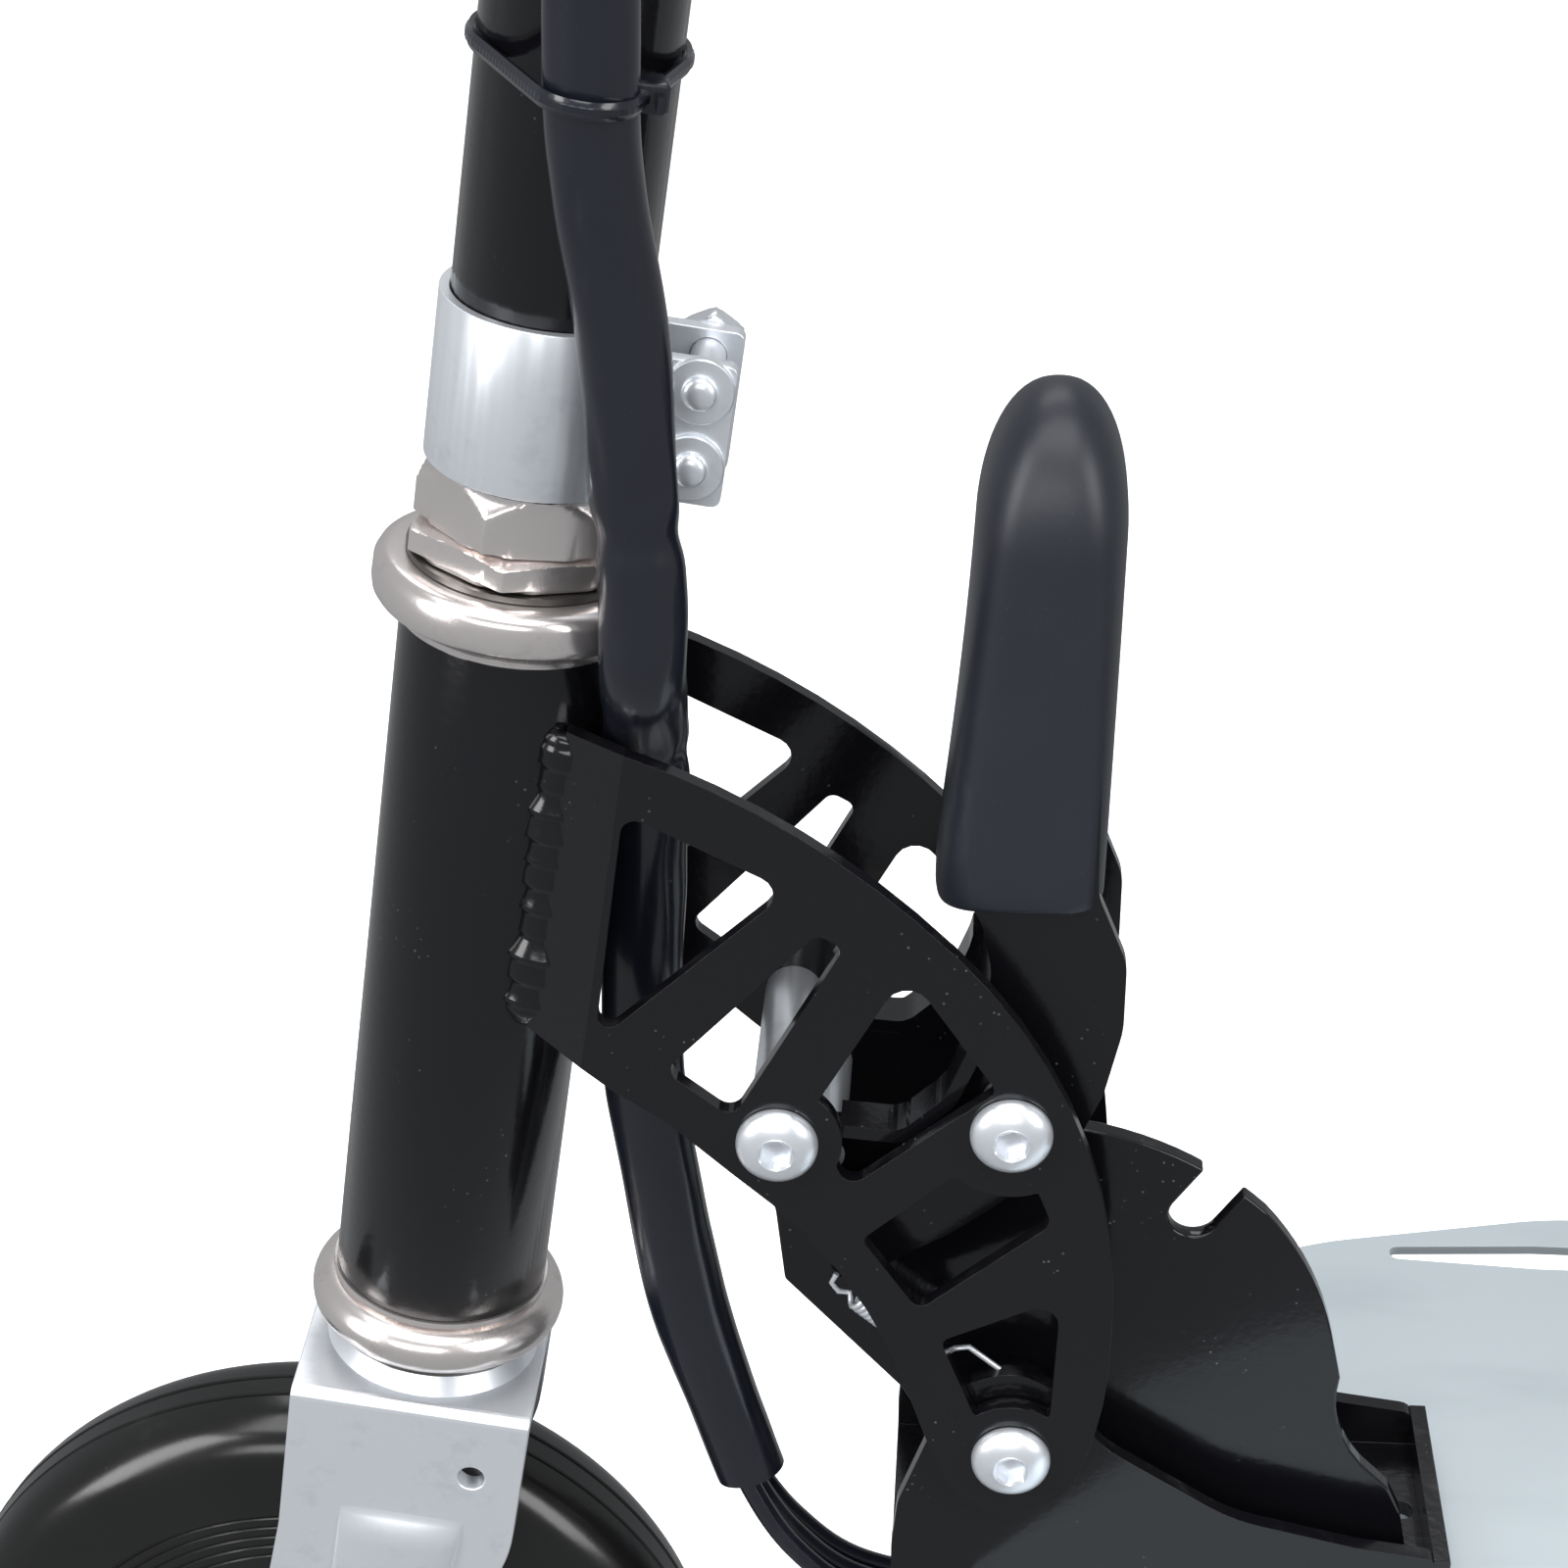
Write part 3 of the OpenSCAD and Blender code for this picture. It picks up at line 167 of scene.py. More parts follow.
neck_middle = neck(0, 0, 80)
lamp("top_box", (0.1, 0.35, 1.5), (1.5, 1.0), 17)
lamp("front_box", (1.35, 0.85, 0.75), (0.6, 1.3), 19)
lamp("rear_box", (-1.35, 0.95, 0.8), (0.7, 1.2), 15)
lamp("near_box", (0.25, 1.9, 0.9), (1.5, 0.5), 12)
lamp("far_box", (0.2, -1.5, 1.9), (1.4, 0.8), 10)

# %% [markdown]
# Shader maths is easier to read as ordinary expressions. A small class wraps one socket and
# adds a Math node for each operator.


# %% Shader expressions
class Value:
    """One number that varies over a surface, as an output socket."""

    def __init__(self, finish, socket):
        self.finish, self.socket = finish, socket

    def math(self, operation, *others):
        links = dict(enumerate([self, *others]))
        return self.finish.add("ShaderNodeMath", {"operation": operation}, links).out()

    def __add__(self, other): return self.math("ADD", other)
    def __radd__(self, other): return self.math("ADD", other)
    def __sub__(self, other): return self.math("SUBTRACT", other)
    def __rsub__(self, other): return (self * -1).math("ADD", other)
    def __mul__(self, other): return self.math("MULTIPLY", other)
    def __rmul__(self, other): return self.math("MULTIPLY", other)
    def least(self, other): return self.math("MINIMUM", other)

    def step(self, low, high):
        """0 below low, 1 above high, and smooth between."""
        settings = {"interpolation_type": "SMOOTHSTEP"}
        return self.finish.add("ShaderNodeMapRange", settings, {0: self, 1: low, 2: high}).out()


print("values add, subtract, multiply and step")

# %% [markdown]
# A finish is one material. One method adds any node and feeds its sockets with numbers or with
# other values, and the rest are short names for the few patterns that every surface here is made
# of: noise, scattered spots, dust that settles on top, a blend of two colours, and fine relief.


# %% Finishes
class Added:
    """A node that was just added. out() gives one of its outputs."""

    def __init__(self, finish, node):
        self.finish, self.node = finish, node

    def out(self, key=0):
        return Value(self.finish, self.node.outputs[key])


class Finish:
    """A material with one Principled shader, and the expressions that feed it."""

    def __init__(self, name):
        self.material = bpy.data.materials.new(name)
        self.material.use_nodes = True
        self.tree = self.material.node_tree
        self.shader = self.tree.nodes["Principled BSDF"]
        self.place = self.add("ShaderNodeTexCoord").out("Object")

    def add(self, kind, settings=None, sockets=None):
        node = self.tree.nodes.new(kind)
        for key, value in (settings or {}).items():
            setattr(node, key, value)
        for key, value in (sockets or {}).items():
            self.feed(node.inputs[key], value)
        return Added(self, node)

    def feed(self, socket, value):
        if isinstance(value, Value):
            self.tree.links.new(value.socket, socket)
        else:
            socket.default_value = value

    def set(self, **inputs):
        """Inputs of the Principled shader, such as set(Metallic=1, Roughness=0.4)."""
        for key, value in inputs.items():
            self.feed(self.shader.inputs[key.replace("_", " ")], value)

    def grain(self, scale, detail=2, roughness=0.5, stretch=None):
        """Noise from 0 to 1, in features per metre."""
        where = self.place
        if stretch:
            settings = {"operation": "MULTIPLY"}
            where = self.add("ShaderNodeVectorMath", settings, {0: self.place, 1: stretch}).out()
        sockets = {"Vector": where, "Scale": scale, "Detail": detail, "Roughness": roughness}
        return self.add("ShaderNodeTexNoise", {}, sockets).out(0)

    def cells(self, scale):
        """Distance to the nearest of many scattered points."""
        return self.add("ShaderNodeTexVoronoi", {}, {"Vector": self.place, "Scale": scale}).out("Distance")

    def facing_up(self):
        """1 where the surface faces the ceiling."""
        normal = self.add("ShaderNodeNewGeometry").out("Normal")
        return self.add("ShaderNodeSeparateXYZ", {}, {0: normal}).out(2).step(0.3, 1.0)

    def blend(self, factor, a, b):
        """From colour a to colour b."""
        sockets = {0: factor, 6: (*a, 1), 7: (*b, 1)}
        return self.add("ShaderNodeMix", {"data_type": "RGBA"}, sockets).out(2)

    def bump(self, height, distance, strength):
        """Fine relief from a height of 0 to 1, over a distance in metres."""
        sockets = {"Height": height, "Distance": distance, "Strength": strength}
        self.feed(self.shader.inputs["Normal"], self.add("ShaderNodeBump", {}, sockets).out())
        return self


print("finishes ready")

# %% [markdown]
# Powder coat is a plastic skin baked on to steel. It flows a little as it melts and stops before
# it is level, which leaves the faint orange peel that breaks up a reflection. Handling leaves
# dust specks and a few fine rubs on it.


# %% Black powder coat
def powder_coat(name, shade, roughness):
    """Black paint with orange peel, dust specks and fine rubs."""
    paint = Finish(name)
    peel = paint.grain(620, 2, 0.45)
    fine = paint.grain(2600, 2)
    cloud = paint.grain(22, 3)
    specks = 1 - paint.cells(520).step(0.05, 0.16)
    scattered = specks * paint.grain(60, 1).step(0.56, 0.72)
    dust = scattered * 0.55 + paint.facing_up() * paint.grain(160, 4).step(0.5, 0.85) * 0.12
    rubs = paint.grain(90, 3, 0.6, (1, 1, 9)).step(0.66, 0.74) * 0.5
    pale = tuple(v * 0.5 + 0.19 for v in shade)
    paint.set(
        Base_Color=paint.blend(dust, shade, pale),
        Roughness=cloud * 0.10 + roughness + rubs * 0.10 + dust * 0.4,
        Coat_Weight=0.2, Coat_Roughness=0.08, IOR=1.43,
    )
    return paint.bump(peel + fine * 0.08 + scattered * 0.3, 0.00006, 0.55).material


black_coat = powder_coat("black_powder_coat", (0.0045, 0.0045, 0.0060), 0.11)
pan_coat = powder_coat("satin_powder_coat", (0.012, 0.012, 0.013), 0.30)
print("powder coats", black_coat.name, "and", pan_coat.name)

# %% [markdown]
# Zinc plating is bright and slightly blue, with a soft haze from the bath and darker smudges
# from oily fingers. Nickel on the headset is warmer and much shinier.


# %% Plated steel
def plated(name, bright, dull, low, high, metal=1.0):
    """Metal from bright to dull, with a roughness from low to high."""
    plate = Finish(name)
    haze = plate.grain(45, 4, 0.6)
    fine = plate.grain(1500, 3, 0.6)
    smudge = plate.grain(120, 3, 0.65).step(0.52, 0.75)
    pits = 1 - plate.cells(900).step(0.04, 0.12)
    mark = pits * plate.grain(70, 2).step(0.55, 0.7)
    plate.set(
        Base_Color=plate.blend((smudge * 0.5 + haze * 0.3 + mark * 0.5).least(1), bright, dull),
        Metallic=metal,
        Roughness=haze * (high - low) + low + smudge * 0.08,
    )
    return plate.bump(fine * 0.7 + mark * -0.6, 0.00003, 0.5).material


zinc = plated("bright_zinc", (0.90, 0.93, 0.97), (0.66, 0.70, 0.76), 0.22, 0.40, metal=0.72)
nickel = plated("nickel_plate", (0.86, 0.81, 0.79), (0.62, 0.56, 0.54), 0.17, 0.30, metal=0.9)
chain_steel = plated("oiled_steel", (0.20, 0.19, 0.18), (0.07, 0.066, 0.06), 0.28, 0.5)
alloy = plated("cast_alloy", (0.58, 0.59, 0.61), (0.38, 0.39, 0.41), 0.34, 0.52)
print("metals", [metal.name for metal in (zinc, nickel, chain_steel, alloy)])

# %% [markdown]
# The deck is galvanised sheet: pale blue-grey, with a rolled grain along it, faint spangle and
# the smears of being handled and wiped.

# %% Galvanised sheet
sheet = Finish("galvanised_sheet")
rolled = sheet.grain(260, 4, 0.6, (0.12, 1, 1))
cloud = sheet.grain(14, 5, 0.6)
smear = sheet.grain(38, 4, 0.55, (0.35, 1, 1)).step(0.45, 0.75)
spangle = sheet.cells(240)
sheet.set(
    Base_Color=sheet.blend(smear * 0.55 + cloud * 0.3, (0.60, 0.665, 0.70), (0.50, 0.56, 0.595)),
    Metallic=0.55,
    Roughness=cloud * 0.16 + 0.34 + smear * 0.10 + spangle * 0.05,
)
galvanised = sheet.bump(rolled * 0.6 + spangle * 0.2, 0.00004, 0.35).material
print("sheet", galvanised.name)

# %% [markdown]
# Soft plastics and rubbers: the vinyl that the lever's handle is dipped in, the cables' jackets,
# the grips, the tyres and the moulded housings. They share one recipe, with their own shade,
# gloss and grain.


# %% Plastics and rubbers
def moulded(name, shade, pale, roughness, grain, depth, coat=0.0):
    """Plastic of one shade, paler where it is dusty or scuffed, with a grain depth metres deep."""
    skin = Finish(name)
    cloud = skin.grain(35, 4, 0.55)
    fine = skin.grain(grain, 3, 0.55)
    dust = (1 - skin.cells(700).step(0.03, 0.13)) * skin.grain(110, 2).step(0.5, 0.7)
    scuff = skin.grain(75, 4, 0.6, (1, 1, 0.2)).step(0.58, 0.72) * 0.4
    skin.set(
        Base_Color=skin.blend((dust * 0.3 + scuff * 0.3 + cloud * 0.1).least(1), shade, pale),
        Roughness=cloud * 0.12 + roughness + dust * 0.2 + scuff * 0.1,
        Coat_Weight=coat, Coat_Roughness=0.1,
    )
    return skin.bump(fine + scuff * 0.3 + dust * 0.4, depth, 0.5).material


vinyl = moulded("dipped_vinyl", (0.010, 0.012, 0.019), (0.10, 0.11, 0.13), 0.36, 900, 0.00005)
jacket_shades = (0.0055, 0.0065, 0.0125), (0.06, 0.065, 0.08)
jacket = moulded("cable_jacket", *jacket_shades, 0.17, 700, 0.00003, coat=0.25)
tread = moulded("solid_tyre", (0.005, 0.005, 0.005), (0.05, 0.05, 0.05), 0.14, 500, 0.00003)
hub_plastic = moulded("moulded_hub", (0.010, 0.010, 0.011), (0.07, 0.07, 0.07), 0.30, 1200, 0.00004)
housing = moulded("moulded_housing", (0.012, 0.012, 0.013), (0.09, 0.09, 0.09), 0.4, 1600, 0.00006)
grip_rubber = moulded("grip_rubber", (0.013, 0.013, 0.013), (0.08, 0.08, 0.08), 0.55, 1300, 0.0001)
battery_wrap = moulded("battery_wrap", (0.02, 0.022, 0.026), (0.1, 0.1, 0.1), 0.42, 800, 0.00004)
red_plastic = moulded("red_rocker", (0.42, 0.018, 0.014), (0.5, 0.12, 0.1), 0.22, 900, 0.00003)
white_plastic = moulded("white_button", (0.66, 0.66, 0.63), (0.5, 0.5, 0.47), 0.28, 900, 0.00003)
moulded_parts = (vinyl, jacket, tread, hub_plastic, housing, grip_rubber, battery_wrap)
print("plastics and rubbers", [item.name for item in (*moulded_parts, red_plastic, white_plastic)])

# %% [markdown]
# The floor is a sheet of white paper. It glows a little of its own, so that it stays as white as
# the backdrop and still takes a soft shadow.

# %% Floor finish
paper = Finish("white_paper")
floor_tone = paper.grain(3, 2)
paper.set(
    Base_Color=paper.blend(floor_tone, (0.90, 0.90, 0.90), (0.92, 0.92, 0.92)),
    Roughness=0.9,
    Emission_Color=(1, 1, 1, 1),
    Emission_Strength=0.62,
)
floor.data.materials.append(paper.material)
print("floor finish", paper.material.name)

# %% [markdown]
# Sheet metal never has a knife edge. A small bevel on every sharp edge of the measured plates
# catches the light as a thin bright line, which is what makes thick paint look like paint.

# %% Give every measured node its finish
finishes = {
    "black_coat": black_coat, "galvanised": galvanised, "grip_mat": grip_rubber, "zinc": zinc,
    "nickel": nickel, "vinyl": vinyl, "battery_case": battery_wrap, "alloy": alloy,
    "motor_case": pan_coat, "chain_steel": chain_steel, "tyre": tread, "hub_plastic": hub_plastic,
    "black_plastic": housing, "red_plastic": red_plastic, "white_plastic": white_plastic,
    "cable_jacket": jacket, "grip_rubber": grip_rubber,
}
edge_mm = {
    "left_ladder_plate": 0.7, "right_ladder_plate": 0.7, "lock_quadrant": 0.5, "neck_base": 0.6,
    "lock_lever": 0.6, "fork": 0.8, "stem_clamp": 0.6, "battery_pan": 0.5, "deck_plate": 0.4,
    "rear_fender": 0.4, "rear_dropouts": 0.6, "brake_lever": 1.5, "brake_bracket": 1.0,
    "throttle_housing": 1.0, "front_axle": 0.5, "rear_axle": 0.5, "battery_front": 2.0,
    "battery_rear": 2.0, "motor_controller": 0.5, "drive_motor": 0.8, "switch_housing": 0.7,
    "switch_rocker": 0.4, "breaker_button": 0.4, "brake_cover": 0.8, "brake_arm": 0.4,
    "stand_bracket": 0.5, "stand_foot": 1.2, "charge_socket": 0.6, "pan_screws": 0.4,
    "fender_screws": 0.4, "head_tube": 0.4, "stem": 0.5, "rear_sprocket": 0.2,
    "motor_sprocket": 0.2, "brake_drum": 0.4,
}
slot_of = {part["node"]: part["material_slot"] for part in frame["record"]["subparts"]}


def soften_edges(item, width):
    """Joins the corners of the mesh and rounds its sharp edges by width millimetres."""
    item.modifiers.new("weld", "WELD").merge_threshold = 0.02 * MM
    flat = item.modifiers.new("flat", "DECIMATE")
    flat.decimate_type = "DISSOLVE"
    flat.angle_limit = math.radians(0.8)
    bevel = item.modifiers.new("bevel", "BEVEL")
    bevel.width = width * MM
    bevel.segments = 2
    bevel.limit_method = "ANGLE"
    bevel.angle_limit = math.radians(28)
    bevel.harden_normals = True


for name, item in nodes.items():
    item.data.materials.clear()
    item.data.materials.append(finishes[slot_of[name]])
    if name in edge_mm:
        soften_edges(item, edge_mm[name])
nodes["battery_pan"].data.materials[0] = pan_coat
print("finished", len(nodes), "nodes in", len(finishes), "materials")

# %% [markdown]
# Most of the extra pieces are one of two things: a profile turned on a lathe, or a section carried
# along a path. Both are a row of rings with a skin between them, so one small class holds the
# rings' points and faces and makes the object. Doing it by hand keeps each ring free to change
# shape, which a curve's bevel would not allow.


# %% A shape made of rings
class Shape:
    """Collects lofts in one mesh, then becomes a piece that rides on a body."""

    def __init__(self):
        self.points, self.faces = [], []

    def loft(self, rings, loop=False):
        """A skin over rings of equal count. A loop joins the last ring to the first."""
        start, count = len(self.points), len(rings[0])
        self.points += [tuple(point) for ring in rings for point in ring]
        for i in range(len(rings) if loop else len(rings) - 1):
            a, b = start + i * count, start + (i + 1) % len(rings) * count
            for j in range(count):
                k = (j + 1) % count
                self.faces.append((a + j, a + k, b + k, b + j))
        if not loop:
            self.faces.append(tuple(start + j for j in range(count)))
            self.faces.append(tuple(len(self.points) - 1 - j for j in range(count)))
        return self

    def make(self, name, material, body, slot, replaces=(), crease=38):
        """The finished piece. Edges sharper than crease degrees stay sharp."""
        mesh = bpy.data.meshes.new(name)
        mesh.from_pydata(self.points, [], self.faces)
        work = bmesh.new()
        work.from_mesh(mesh)
        bmesh.ops.recalc_face_normals(work, faces=work.faces)
        work.to_mesh(mesh)
        work.free()
        mesh.shade_smooth()
        mesh.set_sharp_from_angle(angle=math.radians(crease))
        mesh.materials.append(material)
        piece = bpy.data.objects.new(name, mesh)
        scene.collection.objects.link(piece)
        if body:
            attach(piece, body)
        if replaces:
            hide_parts(*replaces)
        print(name, len(mesh.polygons), "faces")
        return piece


print("one class for every lofted piece")

# %% [markdown]
# Bolts, nuts, cups, grips and tyres are turned on a lathe: one profile, swept round an axis. Where
# the real part has flats, the radius is limited at each angle, which cuts the round to a hexagon.


# %% Turned shapes
def sides_of(axis):
    """Two directions square to an axis."""
    axis = Vector(axis).normalized()
    first = axis.cross(left if abs(axis.dot(left)) < 0.9 else column).normalized()
    return first, axis.cross(first).normalized()


def turned(place, axis, profile, count=72, limit=None):
    """Rings of a lathe: profile holds (radius, height) in millimetres along the axis."""
    axis = Vector(axis).normalized()
    first, second = sides_of(axis)
    rings = []
    for radius, height in profile:
        ring = []
        for j in range(count):
            a = math.tau * j / count
            r = min(radius, limit(a)) if limit else radius
            spoke = first * math.cos(a) + second * math.sin(a)
            ring.append(place + spoke * r * MM + axis * height * MM)
        rings.append(ring)
    return rings


def hexagon(across):
    """Radius of a hexagon at an angle, from its width across the flats."""
    def radius(a):
        return across / 2 / math.cos((a + math.pi / 6) % (math.pi / 3) - math.pi / 6)
    return radius


print("a hexagon 10 across has corners at", round(hexagon(10)(math.pi / 6), 2))

# %% [markdown]
# Cables, welds and the spring's wire are a section carried along a smooth curve. The section
# may change as it goes, so it is a function of the place along the path.


# %% Carried sections
def smooth_path(points, steps):
    """A smooth curve through the points."""
    path = []
    for i in range(len(points) - 1):
        a, b = points[max(i - 1, 0)], points[i]
        c, d = points[i + 1], points[min(i + 2, len(points) - 1)]
        for j in range(steps):
            t = j / steps
            path.append(0.5 * (2 * b + (c - a) * t + (2 * a - 5 * b + 4 * c - d) * t * t
                               + (3 * b - a - 3 * c + d) * t ** 3))
    return path + [points[-1]]


def carried(path, section, up=None):
    """Rings along a path. section(i, share) gives (side, out) offsets in millimetres."""
    rings, side = [], None
    for i, point in enumerate(path):
        along = (path[min(i + 1, len(path) - 1)] - path[max(i - 1, 0)]).normalized()
        if up is not None:
            side = along.cross(up).normalized()
        else:
            side = side or sides_of(along)[0]
            side = (side - along * side.dot(along)).normalized()
        out = side.cross(along).normalized()
        share = i / (len(path) - 1)
        rings.append([point + (side * u + out * v) * MM for u, v in section(i, share)])
    return rings


def round_section(radius, count):
    """A round section for carried()."""
    ring = [(radius * math.cos(math.tau * j / count), radius * math.sin(math.tau * j / count))
            for j in range(count)]
    return lambda i, share: ring


print("a round section of 8 has", len(round_section(1, 8)(0, 0)), "points")

# %% [markdown]
# Three button-head bolts hold the neck together. A button head is a flattened dome with a hexagon
# socket, and the light catches the socket's edge, so the socket is real geometry. Each ring of
# the lathe is clipped to a hexagon where the socket or the nut needs flats.

# %% Cross bolts and their nuts
BOLTS = [(41.5, 65.5), (2, 69), (0, 0)]
PLATE_OUT, SHANK, HEAD, DOME = 26, 4, 7, 3.5
SOCKET_ACROSS, NUT_ACROSS = 5, 13
HEAD_EDGE = [(6.2, -0.3), (6.75, 0.05), (7, 0.45)]
DOME_ANGLES = [math.radians(d) for d in range(0, 64, 7)]
HEAD_DOME = [(HEAD * math.cos(a), 0.9 + DOME * math.sin(a)) for a in DOME_ANGLES]
WASHER = [(4, 0), (8, 0), (8.1, 0.2), (8.1, 1), (7.9, 1.2), (4, 1.2)]
NUT = [
    (4, 1.25), (6.4, 1.25), (6.9, 1.45), (7.3, 1.8), (7.6, 2.2), (7.6, 6.2), (7.3, 6.8), (6.9, 7.1),
    (6.4, 7.3), (5.2, 7.3), (4.1, 6.9),
]
bolts = Shape()
for x, z in BOLTS:
    seat, washer = neck(x, PLATE_OUT, z), neck(x, -PLATE_OUT, z)
    head = turned(seat, left, HEAD_EDGE + HEAD_DOME + [(3.1, 4.15)], 96)
    bolts.loft(head + turned(seat, left, [(9, 3.9), (9, 1.9)], 96, hexagon(SOCKET_ACROSS)))
    bolts.loft(turned(seat, left, [(SHANK, 0.1), (SHANK, -61), (3.3, -61.8)], 40))
    bolts.loft(turned(washer, -left, WASHER, 64), loop=True)
    bolts.loft(turned(washer, -left, NUT, 72, hexagon(NUT_ACROSS)), loop=True)
bolts.make("neck_bolts", zinc, "neck", "zinc", ["cross_bolts"])

# %% [markdown]
# The headset's two cups are pressed rings with a rounded bead, plated in warm nickel. Above them
# a race nut and a thinner lock nut are screwed on to the steerer, with a keyed washer between
# that is not built here.

# %% Headset cups and nuts
HEAD_FOOT, HEAD_TOP, CUP = 20, 152, 11
BEAD_AT, BEAD_HIGH, BEAD_R = 18.6, 4.9, 4.4
cup_profile = [(15.6, 1.2)]
for angle in range(-112, 92, 12):
    a = math.radians(angle)
    cup_profile.append((BEAD_AT + BEAD_R * math.cos(a), BEAD_HIGH + BEAD_R * math.sin(a)))
cup_profile += [(18.0, 9.6), (19.6, 10), (19.45, 11), (15.6, 11)]
rim = [
    (15.6, 0.3), (17, 0), (21.4, 0), (22.3, 0.25), (23.4, 1.0), (24, 2.2), (24.1, 5.2), (23.9, 6.6),
    (23.2, 7.6), (21.6, 8.6), (20.3, 9.2), (19.7, 10), (19.45, 11), (15.6, 11),
]
cups = Shape()
cups.loft(turned(steer(0, 0, HEAD_FOOT - CUP), column, cup_profile, 128), loop=True)
cups.loft(turned(steer(0, 0, HEAD_TOP + CUP), -column, rim, 128), loop=True)
cups.make("headset_rings", nickel, "neck", "nickel", ["headset_cups"])


def column_nut(shape, s, height, across, slope, turn):
    """A hexagon nut on the column. Its top corners are cut back by a cone slope millimetres high."""
    corner = across / 2 / math.cos(math.pi / 6)
    flats = hexagon(across)
    shoulder = height - slope
    profile = [(14.1, 0), (across / 2 - 0.3, 0), (across / 2 + 0.6, 0.25)]
    profile += [(corner, 0.9), (corner, shoulder)]
    for t in (0.12, 0.25, 0.4, 0.55, 0.7, 0.85, 1):
        profile.append((corner - (corner - 15.2) * t, shoulder + slope * t ** 0.85))
    profile.append((14.1, height))
    twisted = lambda a: flats(a + math.radians(turn))
    shape.loft(turned(steer(0, 0, s), column, profile, 144, twisted), loop=True)


nuts = Shape()
column_nut(nuts, HEAD_TOP + CUP + 1.3, 5.2, 34.5, 0.9, 3)
column_nut(nuts, HEAD_TOP + CUP + 6.5, 10.8, 32.0, 4.2, 15)
nuts.make("headset_nuts_turned", nickel, "steering", "nickel", ["headset_nuts"], crease=24)

# %% [markdown]
# The lock lever's handle was dipped in vinyl. The liquid plastic rounds every corner and closes
# over the end as a dome, and its foot is a soft rolled lip. It is a stack of rounded boxes whose
# size shrinks along a curve at the top.


# %% Dipped handle
def rounded_box(place, half_x, half_y, power):
    """A superellipse in the horizontal plane. A higher power gives squarer corners."""
    ring, count = [], 72
    for j in range(count):
        a = math.tau * (j + 0.5) / count
        c, s = math.cos(a), math.sin(a)
        u = math.copysign(abs(c) ** (2 / power), c) * half_x
        v = math.copysign(abs(s) ** (2 / power), s) * half_y
        ring.append(place + Vector((u, v, 0)) * MM)
    return ring


GRIP_FOOT, DOME_FOOT, DOME_TOP, HALF_WIDTH = 107, 170, 193.5, 18.6
LIP, LIP_HIGH = ((6, 2.2), (0.9, 2), (0.2, 1.4), (0, 0.7), (0.4, 0.2)), 1.2


def handle_ring(z, shrink, power, inset=0.0):
    """The handle leans back and narrows towards its top."""
    t = (z - GRIP_FOOT) / (DOME_TOP - GRIP_FOOT)
    front = 16.2 - 6.0 * t - 1.0 * math.sin(math.pi * min(t, 1))
    back = -12.2 - 1.6 * t
    middle, half = neck((front + back) / 2, 0, z), (front - back) / 2
    return rounded_box(middle, half * shrink - inset, HALF_WIDTH * shrink - inset, power)


rings = []
for z, inset in LIP:
    rings.append(handle_ring(GRIP_FOOT + z, 1, 5, inset))
for i in range(27):
    t = i / 26
    z = GRIP_FOOT + LIP_HIGH + (DOME_FOOT - GRIP_FOOT - LIP_HIGH) * t
    rings.append(handle_ring(z, 1, 5 - 1.6 * t ** 2))
for i in range(1, 19):
    a = math.radians(90 * i / 18.4)
    z = DOME_FOOT + (DOME_TOP - DOME_FOOT) * math.sin(a)
    rings.append(handle_ring(z, math.cos(a) ** 0.9, 3.4 - 1.2 * i / 18))
handle = Shape().loft(rings)
handle.make("dipped_handle", vinyl, "lock_lever", "vinyl", ["lever_grip"], crease=70)

# %% [markdown]
# The lever's return spring is a tight extension spring: a long helix of thin wire with a hook at
# its top and a straight tail that reaches back to the hinge. The wire is one path, first round
# the coil and then straight, so it stays a single strand.

# %% Lever spring
SPRING_Y, WIRE_R, COIL_R, TURNS, STEPS = 19.8, 0.52, 2.15, 17, 16
HOOK = [(31.5, 33.5), (32.4, 31.6), (31.2, 29.8), (29.2, 29.6)]
TAIL = [(10.5, 19.2), (8, 19.6), (2, 14.6), (-4, 9.4), (-6.6, 7.4), (-8.2, 4.8), (-7.2, 2.6)]
top, foot = neck(27.5, SPRING_Y, 29.4), neck(13.4, SPRING_Y, 17.3)
along = (foot - top).normalized()
across = along.cross(left).normalized()
wire = [neck(x, SPRING_Y - 0.8, z) for x, z in HOOK]
for i in range(TURNS * STEPS + 1):
    a = math.tau * i / STEPS
    centre = top.lerp(foot, i / (TURNS * STEPS))
    wire.append(centre + (across * math.cos(a) + left * math.sin(a)) * COIL_R * MM)
wire += [neck(x, SPRING_Y + 0.4, z) for x, z in TAIL]
coil = Shape().loft(carried(wire, round_section(WIRE_R, 8)))
coil = coil.make("lever_spring", zinc, None, "zinc", ["lock_spring"], crease=80)
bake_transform(coil)

# %% [markdown]
# The cables run down beside the stem in one loose sleeve of thin plastic tube. It is squashed and
# creased where it bends, so its section changes all the way down: it is flattened, pulled in
# along a few lengthwise folds, and dented by a noise that is the same at every run.

# %% Cable sleeve
RAKE, AXIS_X = 8, 107.5
TILT = math.tan(math.radians(RAKE))


def beside(back, y, z):
    """A point of the neck, given by its distance behind the steering axis."""
    return neck(AXIS_X - z * TILT - back, y, z)


